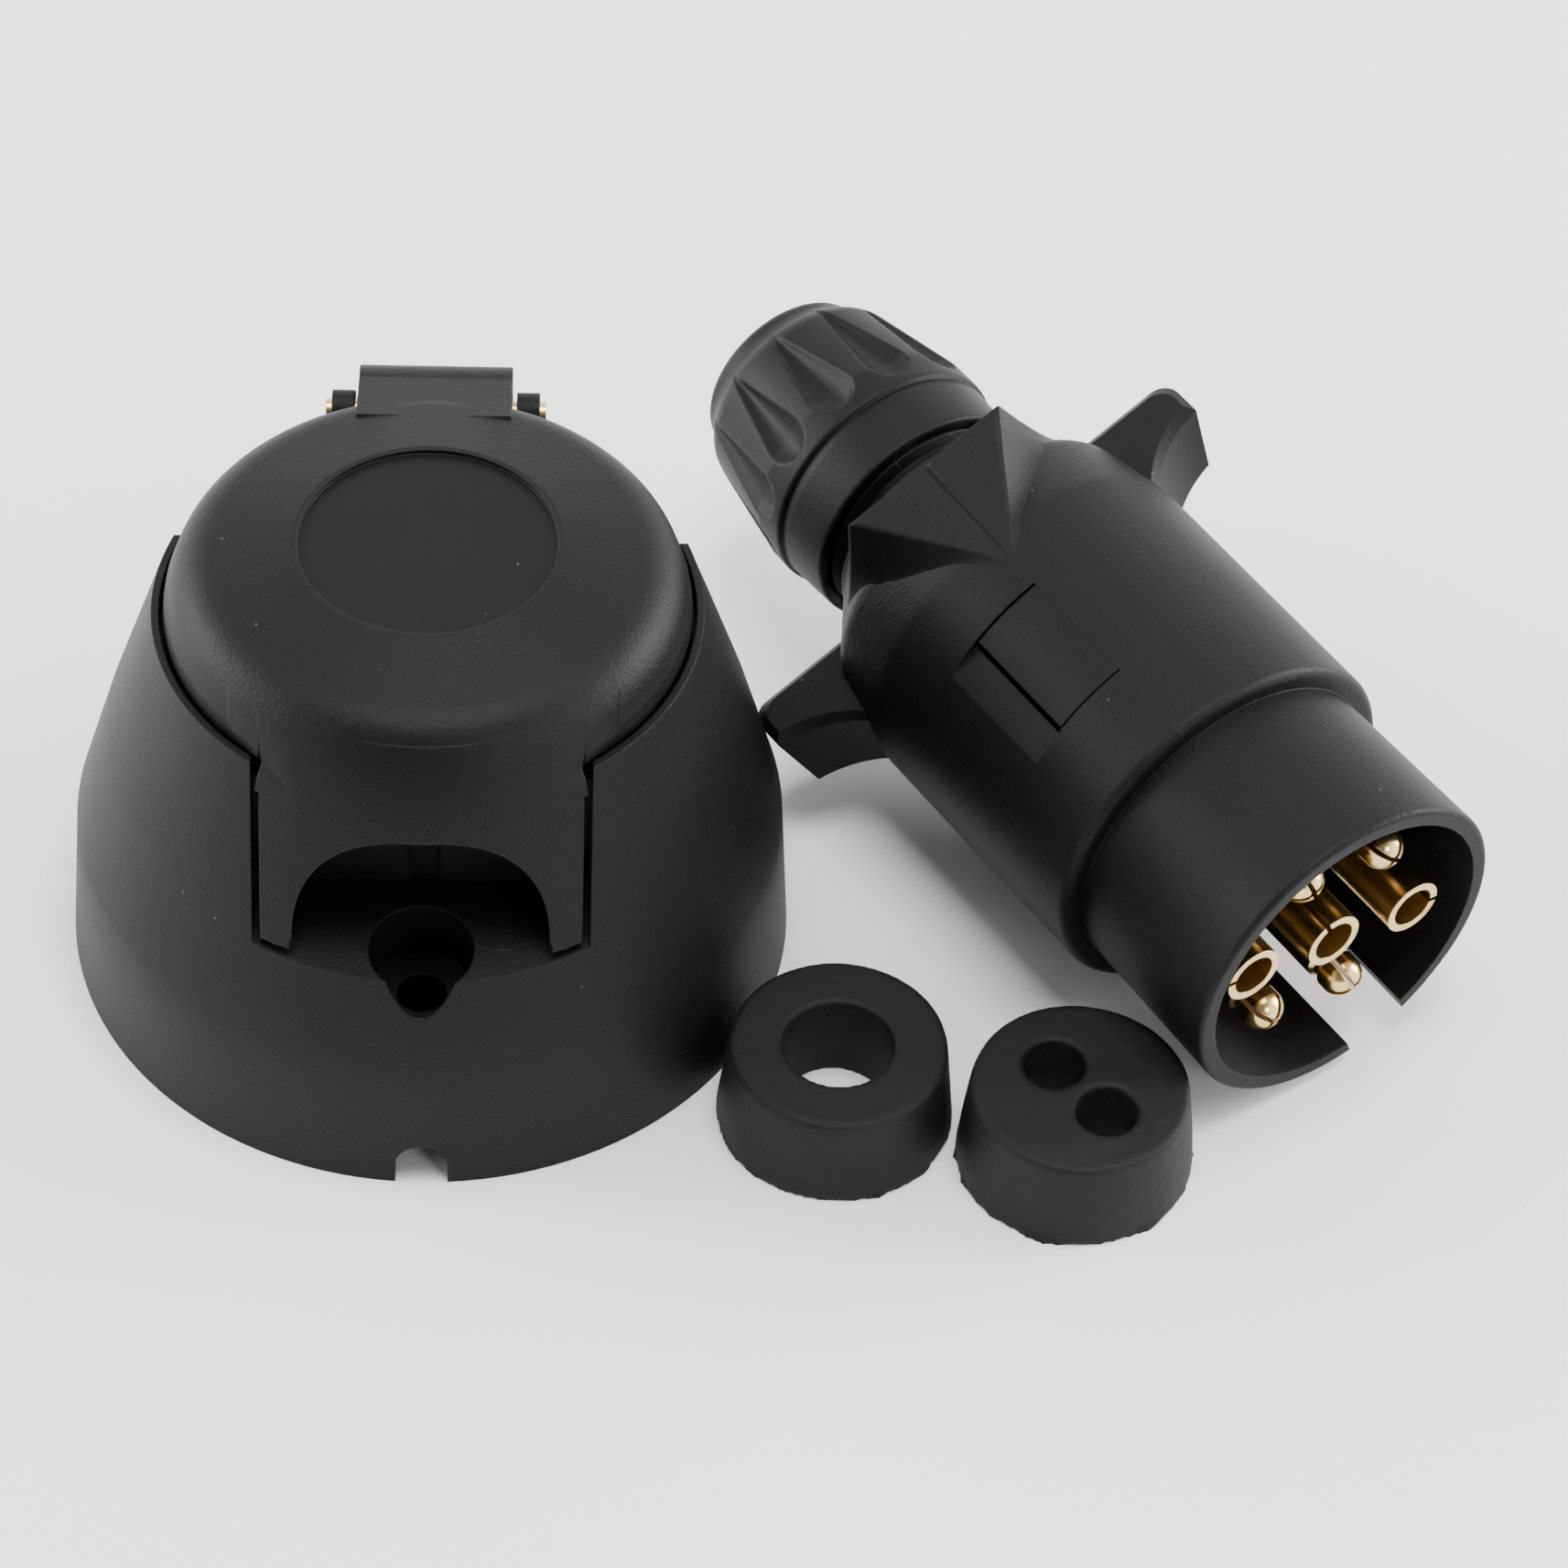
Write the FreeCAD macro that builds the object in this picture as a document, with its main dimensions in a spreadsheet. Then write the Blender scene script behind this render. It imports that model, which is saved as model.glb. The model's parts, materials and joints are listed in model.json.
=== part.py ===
"""Seven-pole trailer socket, its plug and two cable seals, as one parametric document.

Frame: the socket stands on its mounting face in the plane z = 0, with its axis on Z and the
lid's hinge towards +Y. The plug and the two loose seals lie beside it. Sizes are in millimetres.
"""
import FreeCAD, Part
import Sketcher
import math
import os
import re

SIZES = {
    # socket housing, heights above the mounting face
    "base_radius": 41.0, "band_radius": 39.9, "band_height": 17.9,
    "waist_radius": 36.0, "waist_height": 31.8, "rim_radius": 30.3, "rim_height": 49.4,
    "shell_wall": 2.5, "lip_wall": 0.85, "lid_recess": 3.2, "deck_wall": 2.4,
    "receptacle_radius": 20.6, "receptacle_wall": 2.4,
    "floor_height": 15.5, "floor_wall": 4.0, "key_width": 6.8, "key_depth": 2.2,
    "bolt_circle": 32.35, "bolt_hole": 2.75, "bolt_recess": 5.75, "bolt_seat": 22.0, "column_wall": 2.1,
    "pocket_half": 18.3, "pocket_sill": 28.6, "pocket_rise": 1.6, "pocket_wall": 2.2,
    "cup_collar": 1.8, "collar_sweep": 200,
    "drain_half": 2.9, "drain_height": 5.6,
    # hinge and lid
    "hinge_back": 30.0, "hinge_height": 50.5, "hinge_pin_radius": 1.25, "barrel_radius": 5.1,
    "barrel_half": 8.6, "ear_radius": 2.25, "ear_wall": 2.6, "ear_foot": 38.0,
    "lid_radius": 28.95, "lid_shoulder": 50.6, "lid_brow_radius": 27.0, "lid_brow": 56.6,
    "lid_crown": 59.4, "lid_wall": 2.3, "disc_radius": 14.2, "disc_depth": 0.5,
    "tab_half": 17.4, "tab_tip": 30.2, "tab_wall": 2.3, "arch_half": 14.2, "arch_crown": 45.0,
    "arch_corner": 9.0, "gasket_inner": 21.0, "gasket_outer": 26.4, "gasket_thick": 1.7,
    "spring_wire": 0.9, "spring_radius": 2.75, "spring_half": 4.6,
    # contacts and the blocks that hold them
    "contact_circle": 11.7, "pin_radius": 2.5, "tube_radius": 3.5, "contact_fit": 0.05,
    "contact_reach": 20.3, "insert_reach": 19.5, "block_thick": 10.0, "tail_length": 12.0, "tail_radius": 3.2,
    "wire_bore": 1.9, "slit": 0.6, "slit_length": 12.0, "screw_radius": 1.4,
    "insert_radius": 17.6, "insert_rise": 20.3, "flange_thick": 4.0, "clearance": 0.2,
    "fixing_radius": 1.5, "fixing_head": 2.3, "fixing_offset": 14.3,
    # plug, distances back from its mouth
    "mouth_radius": 20.3, "shroud_radius": 19.8, "shroud_bore": 18.2, "step_back": 22.2,
    "grip_radius": 22.3, "grip_back": 58.0, "shoulder_radius": 20.9, "shoulder_back": 67.0,
    "collar_radius": 13.8, "collar_wall": 0.5, "tail_back": 76.2, "neck_radius": 12.0,
    "thread_radius": 13.2, "thread_pitch": 2.5, "thread_count": 5, "thread_start": 78.6,
    "bore_radius": 9.6, "grip_wall": 2.3,
    "keyway_half": 3.9, "keyway_back": 19.0,
    "lug_half": 11.0, "lug_height": 24.0, "lug_back": 69.6, "lug_front": 54.0, "lug_hollow": 12.0,
    "lug_foot": 13.0, "lug_root": 13.6, "lug_tip": 0.8,
    "window_back": 49.2, "window_front": 33.3, "window_width": 9.3, "window_gap": 0.3,
    "wing_back": 70.8, "wing_front": 59.0, "wing_tip_front": 65.0, "wing_span": 31.4,
    "wing_half": 4.9, "wing_corner": 2.4, "wing_scoop": 16.0, "wing_lean": 1.8, "wing_edge": 1.0,
    # gland nut
    "nut_front": 79.6, "nut_end": 108.8, "nut_front_radius": 14.7, "nut_collar": 87.0,
    "nut_radius": 15.5, "nut_rear_radius": 13.1, "nut_rear": 104.2, "nut_wall": 1.6,
    "nut_mouth": 8.2, "nut_fit": 0.1, "flute_count": 12,
    "washer_thick": 1.0, "washer_back": 94.7, "washer_radius": 12.75,
    "flute_length": 9.5, "flute_half": 3.4, "flute_depth": 1.2,
    # cable seals
    "seal_radius": 13.35, "seal_top_radius": 12.2, "seal_height": 11.4,
    "single_hole": 6.1, "twin_hole": 3.5, "twin_spacing": 8.55,
    # where the loose pieces lie
    "plug_right": 101.9, "plug_ahead": 24.1, "plug_heading": 34.65, "plug_dip": 1.8, "plug_roll": 22.3,
    "single_right": 46.0, "single_ahead": 29.7, "twin_right": 72.7, "twin_ahead": 35.5,
    "twin_turn": -50.4,
}

doc = FreeCAD.newDocument("trailer_connector")
sheet = doc.addObject("Spreadsheet::Sheet", "Sizes")
for row, (alias, value) in enumerate(SIZES.items(), start=1):
    sheet.set(f"A{row}", alias)
    sheet.set(f"B{row}", str(value))
    sheet.setAlias(f"B{row}", alias)
doc.recompute()


def formula(text):
    """Point each size named in a formula at its cell of the sheet."""
    return re.sub(r"[a-z]\w+", lambda word: f"Sizes.{word[0]}" if word[0] in SIZES else word[0], str(text))


def worth(text):
    """The number that a formula gives with the sheet's present sizes."""
    value = sheet.evalExpression(formula(text))
    return float(getattr(value, "Value", value))


def arc_through(start, end, radius):
    """The short arc between two points: its centre is left of the way for a positive radius."""
    chord = end - start
    left = FreeCAD.Vector(-chord.y, chord.x, 0).normalize()
    rise = math.sqrt(max(radius ** 2 - (chord.Length / 2) ** 2, 0.0))
    centre = (start + end) / 2 + left * math.copysign(rise, radius)
    circle = Part.Circle(centre, FreeCAD.Vector(0, 0, 1), abs(radius))
    first, last = (start, end) if radius > 0 else (end, start)
    angles = [math.atan2(point.y - centre.y, point.x - centre.x) for point in (first, last)]
    return Part.ArcOfCircle(circle, *angles)


class Piece:
    """A PartDesign body, with one short method for each way of adding or taking material."""

    def __init__(self, label):
        self.body = doc.addObject("PartDesign::Body", label)
        self.body.Label = label
        self.label = label
        self.steps = 0

    def name(self, kind):
        self.steps += 1
        return f"{self.label}_{kind}_{self.steps}"

    def sketch(self, role, lift=0):
        """A sketch on an origin plane, or at a height above it along the plane's normal."""
        sketch = self.body.newObject("Sketcher::SketchObject", self.name("sketch"))
        plane = next(item for item in self.body.Origin.OriginFeatures if item.Role == role)
        sketch.AttachmentSupport = [(plane, "")]
        sketch.MapMode = "FlatFace"
        sketch.setExpression("AttachmentOffset.Base.z", formula(lift))
        return sketch

    def outline(self, sketch, corners):
        """A closed line through the corners; a corner's third value makes an arc to the next."""
        points = [FreeCAD.Vector(worth(corner[0]), worth(corner[1]), 0) for corner in corners]
        ends = []
        for index, corner in enumerate(corners):
            start, end = points[index], points[(index + 1) % len(points)]
            if len(corner) == 3:
                radius = worth(corner[2])
                edge = sketch.addGeometry(arc_through(start, end, radius))
                ends.append((edge, 1, 2) if radius > 0 else (edge, 2, 1))
                bound = sketch.addConstraint(Sketcher.Constraint("Radius", edge, abs(radius)))
                sketch.setExpression(f"Constraints[{bound}]", f"abs({formula(corner[2])})")
            else:
                ends.append((sketch.addGeometry(Part.LineSegment(start, end)), 1, 2))
        for index, corner in enumerate(corners):
            edge, first, _ = ends[index]
            previous, _, last = ends[index - 1]
            sketch.addConstraint(Sketcher.Constraint("Coincident", previous, last, edge, first))
            for way, value, text in (("X", points[index].x, corner[0]), ("Y", points[index].y, corner[1])):
                bound = sketch.addConstraint(Sketcher.Constraint(f"Distance{way}", -1, 1, edge, first, value))
                sketch.setExpression(f"Constraints[{bound}]", formula(text))

    def circle(self, sketch, across, up, radius):
        """A full circle with its centre and radius bound to formulas."""
        centre = FreeCAD.Vector(worth(across), worth(up), 0)
        edge = sketch.addGeometry(Part.Circle(centre, FreeCAD.Vector(0, 0, 1), worth(radius)))
        for kind, value, text in (("X", centre.x, across), ("Y", centre.y, up)):
            bound = sketch.addConstraint(Sketcher.Constraint(f"Distance{kind}", -1, 1, edge, 3, value))
            sketch.setExpression(f"Constraints[{bound}]", formula(text))
        bound = sketch.addConstraint(Sketcher.Constraint("Radius", edge, worth(radius)))
        sketch.setExpression(f"Constraints[{bound}]", formula(radius))

    def feature(self, kind, sketch):
        made = self.body.newObject(f"PartDesign::{kind}", self.name(kind.lower()))
        made.Profile = sketch
        return made

    def turn(self, corners, kind="Revolution", angle=360, reverse=False, role="XZ_Plane", middle=False):
        """Turn an outline of (radius, height) corners about Z; kind Groove takes it away."""
        sketch = self.sketch(role)
        self.outline(sketch, corners)
        made = self.feature(kind, sketch)
        made.ReferenceAxis = (sketch, ["V_Axis"])
        made.setExpression("Angle", formula(angle))
        made.Reversed = reverse
        made.Midplane = middle
        doc.recompute()
        return made

    def slab(self, role, shape, length, kind="Pad", lift=0, reverse=False, middle=False):
        """Pad or pocket a shape: a list of corners, or tuples of circles (across, up, radius)."""
        sketch = self.sketch(role, lift)
        if isinstance(shape, tuple):
            for ring in shape:
                self.circle(sketch, *ring)
        else:
            self.outline(sketch, shape)
        made = self.feature(kind, sketch)
        made.setExpression("Length", formula(length))
        made.Reversed = reverse
        made.Midplane = middle
        doc.recompute()
        return made

    def loft(self, role, sections):
        """Join sections, each a (lift, corners) pair, with straight sides between them."""
        sketches = []
        for lift, corners in sections:
            sketches.append(self.sketch(role, lift))
            self.outline(sketches[-1], corners)
        made = self.feature("AdditiveLoft", sketches[0])
        made.Sections = sketches[1:]
        made.Ruled = True
        doc.recompute()
        return made

    def around(self, features, count):
        """Repeat features evenly about the Z axis."""
        made = self.body.newObject("PartDesign::PolarPattern", self.name("pattern"))
        made.Originals = features
        axis = next(item for item in self.body.Origin.OriginFeatures if item.Role == "Z_Axis")
        made.Axis = (axis, [""])
        made.Angle = 360
        made.setExpression("Occurrences", formula(count))
        self.body.Tip = made
        doc.recompute()
        return made

    def round_rings(self, radius, *rings):
        """Fillet the full circles about Z that have the given (radius, height)."""
        base = self.body.Tip
        names = []
        for index, edge in enumerate(base.Shape.Edges, start=1):
            if isinstance(edge.Curve, Part.Circle) and abs(edge.Curve.Center.x) + abs(edge.Curve.Center.y) < 0.001:
                for ring_radius, height in rings:
                    near = abs(edge.Curve.Radius - worth(ring_radius)) < 0.001
                    if near and abs(edge.Curve.Center.z - worth(height)) < 0.001:
                        names.append(f"Edge{index}")
        made = self.body.newObject("PartDesign::Fillet", self.name("fillet"))
        made.Base = (base, names)
        made.setExpression("Radius", formula(radius))
        doc.recompute()
        return made


def box(left, right, low, high):
    """Corners of a rectangle."""
    return [(left, low), (right, low), (right, high), (left, high)]


# ---------------------------------------------------------------- socket housing
CONE = "(waist_radius - (waist_radius - rim_radius) * (({0}) - waist_height) / (rim_height - waist_height))"
DECK = "(rim_height - lid_recess)"
DECK_UNDER = f"({DECK} - deck_wall)"
RECEPTACLE_OUTER = "(receptacle_radius + receptacle_wall)"
FLOOR = "(floor_height + floor_wall)"
CUP_SEAT = f"({RECEPTACLE_OUTER} + contact_fit)"
RING_COUNT = 6


def housing_envelope():
    """The outer line of the housing, from its base up to its lip."""
    return [("base_radius", "0"), ("band_radius", "band_height"), ("waist_radius", "waist_height"),
            ("rim_radius", "rim_height")]


def make_housing():
    piece = Piece("socket_housing")
    piece.turn(housing_envelope() + [
        ("rim_radius - lip_wall", "rim_height"), ("rim_radius - lip_wall", DECK),
        (CUP_SEAT, DECK), (CUP_SEAT, DECK_UNDER), (CONE.format(DECK_UNDER) + " - shell_wall", DECK_UNDER),
        ("waist_radius - shell_wall", "waist_height"), ("band_radius - shell_wall", "band_height"),
        ("base_radius - shell_wall", "0")])
    column = piece.slab("XY_Plane", (("0", "-bolt_circle", "bolt_recess + column_wall"),), DECK_UNDER)
    piece.around([column], 3)
    block = "(pocket_half + pocket_wall)"
    piece.slab("XY_Plane", box(f"-{block}", block, "-base_radius", "-receptacle_radius"),
               f"{DECK} - pocket_sill + pocket_wall", lift="pocket_sill - pocket_wall")
    piece.slab("XY_Plane", (("0", "0", CUP_SEAT),), "rim_height", kind="Pocket", reverse=True)
    far = "(base_radius + 15)"
    piece.turn(housing_envelope() + [("rim_radius", "rim_height + 5"), (far, "rim_height + 5"), (far, "-5"),
                                     ("base_radius", "-5")], kind="Groove")
    ear_side = "(barrel_half + 0.5)"
    piece.slab("YZ_Plane", [("hinge_back - ear_radius", "ear_foot"), ("hinge_back + ear_radius", "ear_foot"),
                            ("hinge_back + ear_radius", "hinge_height", "ear_radius"),
                            ("hinge_back", "hinge_height + ear_radius", "ear_radius"),
                            ("hinge_back - ear_radius", "hinge_height")],
               f"2 * ({ear_side} + ear_wall)", middle=True)
    piece.slab("YZ_Plane", (("hinge_back", "hinge_height", "barrel_radius + 0.35"),), f"2 * {ear_side}",
               kind="Pocket", middle=True)
    piece.slab("YZ_Plane", (("hinge_back", "hinge_height", "hinge_pin_radius + contact_fit"),), "40",
               kind="Pocket", middle=True)
    back = f"-{RECEPTACLE_OUTER}"
    piece.slab("YZ_Plane", [(back, "rim_height + 5"), (back, "pocket_sill + pocket_rise"),
                            ("-waist_radius - 1", "pocket_sill"), ("-base_radius - 5", "pocket_sill"),
                            ("-base_radius - 5", "rim_height + 5")], "2 * pocket_half", kind="Pocket", middle=True)
    recess = piece.slab("XY_Plane", (("0", "-bolt_circle", "bolt_recess"),), "60", kind="Pocket",
                        lift="bolt_seat", reverse=True)
    hole = piece.slab("XY_Plane", (("0", "-bolt_circle", "bolt_hole"),), "60", kind="Pocket", reverse=True)
    piece.around([recess, hole], 3)
    spring_line = "drain_height - drain_half"
    piece.slab("XZ_Plane", [("-drain_half", "-1"), ("drain_half", "-1"), ("drain_half", spring_line, "drain_half"),
                            ("0", "drain_height", "drain_half"), ("-drain_half", spring_line)],
               "shell_wall + 5", kind="Pocket", lift="base_radius - shell_wall - 3", reverse=True)
    return piece


def make_receptacle():
    """The cup that the plug enters, with its collar against the underside of the deck."""
    piece = Piece("socket_receptacle")
    collar = f"({RECEPTACLE_OUTER} + cup_collar)"
    collar_top = f"({DECK_UNDER} - contact_fit)"
    piece.turn([("receptacle_radius", DECK), ("receptacle_radius", FLOOR), ("0", FLOOR), ("0", "floor_height"),
                (RECEPTACLE_OUTER, "floor_height"), (RECEPTACLE_OUTER, DECK)])
    piece.turn(box(f"{RECEPTACLE_OUTER} - 0.2", collar, f"{collar_top} - cup_collar", collar_top),
               angle="collar_sweep", role="YZ_Plane", middle=True)
    below = {"lift": "floor_height - 1", "kind": "Pocket", "reverse": True}
    pole = "(tube_radius + 0.9)"
    side = ("contact_circle * cos(30 deg)", "contact_circle / 2", pole)
    piece.around([piece.slab("XY_Plane", (side,), "floor_wall + 2", **below)], RING_COUNT)
    piece.slab("XY_Plane", (("0", "0", pole),), "floor_wall + 2", **below)
    fixing = "(fixing_radius + contact_fit)"
    piece.slab("XY_Plane", (("fixing_offset", "0", fixing), ("-fixing_offset", "0", fixing)),
               "floor_wall + 2", **below)
    piece.slab("XY_Plane", box("-key_width / 2", "key_width / 2", "-receptacle_radius - 0.5",
                               "-receptacle_radius + key_depth"),
               f"{DECK} - {FLOOR} - flange_thick - 0.5", lift=f"{FLOOR} + flange_thick + 0.1")
    column = "(bolt_recess + column_wall + contact_fit)"
    notch = piece.slab("XY_Plane", (("0", "-bolt_circle", column),), DECK, kind="Pocket", reverse=True)
    piece.around([notch], 3)
    return piece


# ---------------------------------------------------------------- lid and hinge
def make_lid():
    piece = Piece("lid")
    skirt = f"({DECK} + 0.35)"
    seat = f"({DECK} + 0.15 + gasket_thick)"
    piece.turn([("0", "lid_crown - disc_depth"), ("disc_radius", "lid_crown - disc_depth"),
                ("disc_radius", "lid_crown"), ("disc_radius + 0.6", "lid_crown"),
                ("lid_brow_radius", "lid_brow"), ("lid_radius", "lid_shoulder"), ("lid_radius", skirt),
                ("gasket_outer + 0.1", skirt), ("gasket_outer + 0.1", seat), ("gasket_inner - 0.4", seat),
                ("gasket_inner - 0.4", "lid_shoulder"), ("lid_brow_radius - lid_wall", "lid_shoulder"),
                ("lid_brow_radius - lid_wall - 1.5", "lid_brow - lid_wall"),
                ("disc_radius", "lid_crown - lid_wall - disc_depth"), ("0", "lid_crown - lid_wall - disc_depth")])
    piece.round_rings("6.5", ("lid_brow_radius", "lid_brow"))
    piece.round_rings("4", ("lid_radius", "lid_shoulder"))
    tip = CONE.format("tab_tip")
    knee = CONE.format("lid_shoulder - 2.2")
    piece.turn([("1.5 - lid_radius", "lid_shoulder + 2.2"), (f"0.1 - {knee}", "lid_shoulder - 2.2"),
                (f"0.1 - {tip}", "tab_tip"), (f"tab_wall - {tip}", "tab_tip"),
                (f"tab_wall + 0.5 - {knee}", "lid_shoulder - 2.6"), ("4.2 - lid_radius", "lid_shoulder + 1.2")],
               angle="2 * asin(tab_half / rim_radius)", role="YZ_Plane", middle=True)
    trim_tab(piece, skirt)
    piece.slab("YZ_Plane", (("hinge_back", "hinge_height", "ear_radius + 0.65"),),
               "2 * (barrel_half + ear_wall + 1)", kind="Pocket", middle=True)
    add_hinge_lug(piece)
    piece.turn(box("gasket_inner - 0.4", "gasket_outer + 0.1", DECK, seat), kind="Groove")
    return piece


def trim_tab(piece, skirt):
    """Cut the tab's straight sides and the arch between its two prongs."""
    far = "(base_radius + 5)"
    for left, right in ((f"-{far}", "-tab_half"), ("tab_half", far)):
        piece.slab("XZ_Plane", box(left, right, "tab_tip - 5", skirt), "60", kind="Pocket", reverse=True)
    piece.slab("XZ_Plane", [("-arch_half", "tab_tip - 5"), ("arch_half", "tab_tip - 5"),
                            ("arch_half", "arch_crown - arch_corner", "arch_corner"),
                            ("arch_half - arch_corner", "arch_crown"),
                            ("arch_corner - arch_half", "arch_crown", "arch_corner"),
                            ("-arch_half", "arch_crown - arch_corner")], "60", kind="Pocket", reverse=True)


def add_hinge_lug(piece):
    """The barrel behind the dome, bridged to it, hollow for the spring and bored for the pin."""
    width = "2 * barrel_half"
    top = "(hinge_height + barrel_radius)"
    piece.slab("YZ_Plane", (("hinge_back", "hinge_height", "barrel_radius"),), width, middle=True)
    piece.slab("YZ_Plane", [("hinge_back", top), ("lid_brow_radius - 5.5", "lid_brow + 1.2"),
                            ("lid_brow_radius - 5.5", "lid_brow - lid_wall"), ("lid_brow_radius - 2", "hinge_height"),
                            ("hinge_back", "hinge_height")], width, middle=True)
    hollow = "(spring_radius + spring_wire / 2 + 0.5)"
    piece.slab("YZ_Plane", (("hinge_back", "hinge_height", hollow),), "2 * (spring_half + 0.6)",
               kind="Pocket", middle=True)
    piece.slab("YZ_Plane", box(f"hinge_back - {hollow}", f"hinge_back + {hollow}", "hinge_height - barrel_radius - 1",
                               "hinge_height"), "2 * (spring_half + 0.6)", kind="Pocket", middle=True)
    piece.slab("YZ_Plane", (("hinge_back", "hinge_height", "hinge_pin_radius + 0.08"),), "2 * barrel_half + 2",
               kind="Pocket", middle=True)


def make_hinge_pin():
    piece = Piece("hinge_pin")
    piece.slab("YZ_Plane", (("hinge_back", "hinge_height", "hinge_pin_radius"),),
               "2 * (barrel_half + 0.5 + ear_wall) + 1.4", middle=True)
    return piece


def make_gasket():
    piece = Piece("lid_gasket")
    low = f"({DECK} + 0.15)"
    piece.turn(box("gasket_inner", "gasket_outer", low, f"{low} + gasket_thick"))
    return piece


def make_spring():
    """A closed-wound coil about the hinge pin, swept along a helix."""
    turns = math.floor(2 * worth("spring_half") / (worth("spring_wire") * 1.15))
    pitch = 2 * worth("spring_half") / turns
    radius, wire = worth("spring_radius"), worth("spring_wire")
    helix = Part.makeHelix(pitch, pitch * (turns - 1), radius)
    section = Part.Wire(Part.makeCircle(wire / 2, FreeCAD.Vector(radius, 0, 0), FreeCAD.Vector(0, 1, 0)))
    coil = Part.Wire(helix).makePipeShell([section], True, True)
    feature = doc.addObject("Part::Feature", "lid_spring")
    feature.Label = "lid_spring"
    feature.Shape = coil
    start = FreeCAD.Vector(-pitch * (turns - 1) / 2, worth("hinge_back"), worth("hinge_height"))
    feature.Placement = FreeCAD.Placement(start, FreeCAD.Rotation(FreeCAD.Vector(0, 1, 0), 90))
    return feature


# ---------------------------------------------------------------- contacts
# Each contact stands on Z with the back face of its insulating block at height 0.


def finish_contact(piece):
    """Bore the wire hole up the tail and the cross hole for its terminal screw."""
    piece.slab("XY_Plane", (("0", "0", "wire_bore"),), "tail_length - 3", kind="Pocket",
               lift="-tail_length", reverse=True)
    piece.slab("YZ_Plane", (("0", "4.5 - tail_length", "screw_radius + 0.02"),), "tail_radius + 1",
               kind="Pocket", reverse=True)


def make_tube(label, seat, reach):
    """A socket contact: a thin tube split down one side, on a solid tail."""
    piece = Piece(label)
    tip = f"({seat} + {reach})"
    bore = "(pin_radius + contact_fit)"
    piece.turn([("0", "-tail_length"), ("tail_radius", "-tail_length"), ("tail_radius", "0.2"),
                ("tube_radius", "0.2"), ("tube_radius", tip), (bore, tip), (bore, f"{seat} - 3"),
                ("0", f"{seat} - 3.5")])
    piece.slab("YZ_Plane", box("-slit / 2", "slit / 2", f"{tip} - slit_length", f"{tip} + 1"), "tube_radius + 1",
               kind="Pocket", reverse=True)
    finish_contact(piece)
    return piece


def make_pin(label, seat, reach):
    """A pin contact: a round head on a waist, slit crosswise from the tip."""
    piece = Piece(label)
    tip = f"({seat} + {reach})"
    piece.turn([("0", "-tail_length"), ("tail_radius", "-tail_length"), ("tail_radius", "0.2"),
                ("tube_radius", "0.2"), ("tube_radius", f"{seat} + 1.5"), ("pin_radius", f"{seat} + 1.5"),
                ("pin_radius", f"{tip} - 5"), ("pin_radius - 0.5", f"{tip} - 4.6"),
                ("pin_radius - 0.5", f"{tip} - 4.0"), ("pin_radius", f"{tip} - 3.4"),
                ("pin_radius", f"{tip} - 1.9", "pin_radius"), ("0.8", tip), ("0", tip)])
    for plane in ("XZ_Plane", "YZ_Plane"):
        piece.slab(plane, box("-slit / 2", "slit / 2", f"{tip} - slit_length * 0.7", f"{tip} + 1"),
                   "2 * pin_radius + 2", kind="Pocket", middle=True)
    finish_contact(piece)
    return piece


def contact_places():
    """The seven poles of one half: the centre, then six round the circle, as (angle, is_pin)."""
    return [(None, False)] + [(30 + 60 * step, step in (0, 1, 3, 4)) for step in range(RING_COUNT)]


def pole_position(angle):
    if angle is None:
        return 0.0, 0.0
    circle = worth("contact_circle")
    return circle * math.cos(math.radians(angle)), circle * math.sin(math.radians(angle))


def make_terminal_screws(label, places):
    """One screw in each tail, made as a single group of separate solids."""
    radius, length = worth("screw_radius"), worth("tail_radius") - worth("wire_bore") + 1.2
    screws = []
    for place in places:
        start = FreeCAD.Vector(worth("wire_bore") - 0.4, 0, 4.5 - worth("tail_length"))
        along = FreeCAD.Vector(1, 0, 0)
        screw = Part.makeCylinder(radius, length, start, along)
        corner = FreeCAD.Vector(start.x + length - 0.6, -radius - 0.5, start.z - 0.25)
        slot = Part.makeBox(0.8, 2 * radius + 1, 0.5, corner)
        screw = screw.cut(slot)
        screw.Placement = place.multiply(screw.Placement)
        screws.append(screw)
    feature = doc.addObject("Part::Feature", label)
    feature.Label = label
    feature.Shape = Part.makeCompound(screws)
    return feature


# ---------------------------------------------------------------- insulating blocks
def bore_poles(piece, places, radius, low, length):
    """Bore the block at the poles given, from one height up."""
    rings = tuple((f"{x:.6f}", f"{y:.6f}", radius) for x, y in map(pole_position, places))
    piece.slab("XY_Plane", rings, length, kind="Pocket", lift=low, reverse=True)


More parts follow.
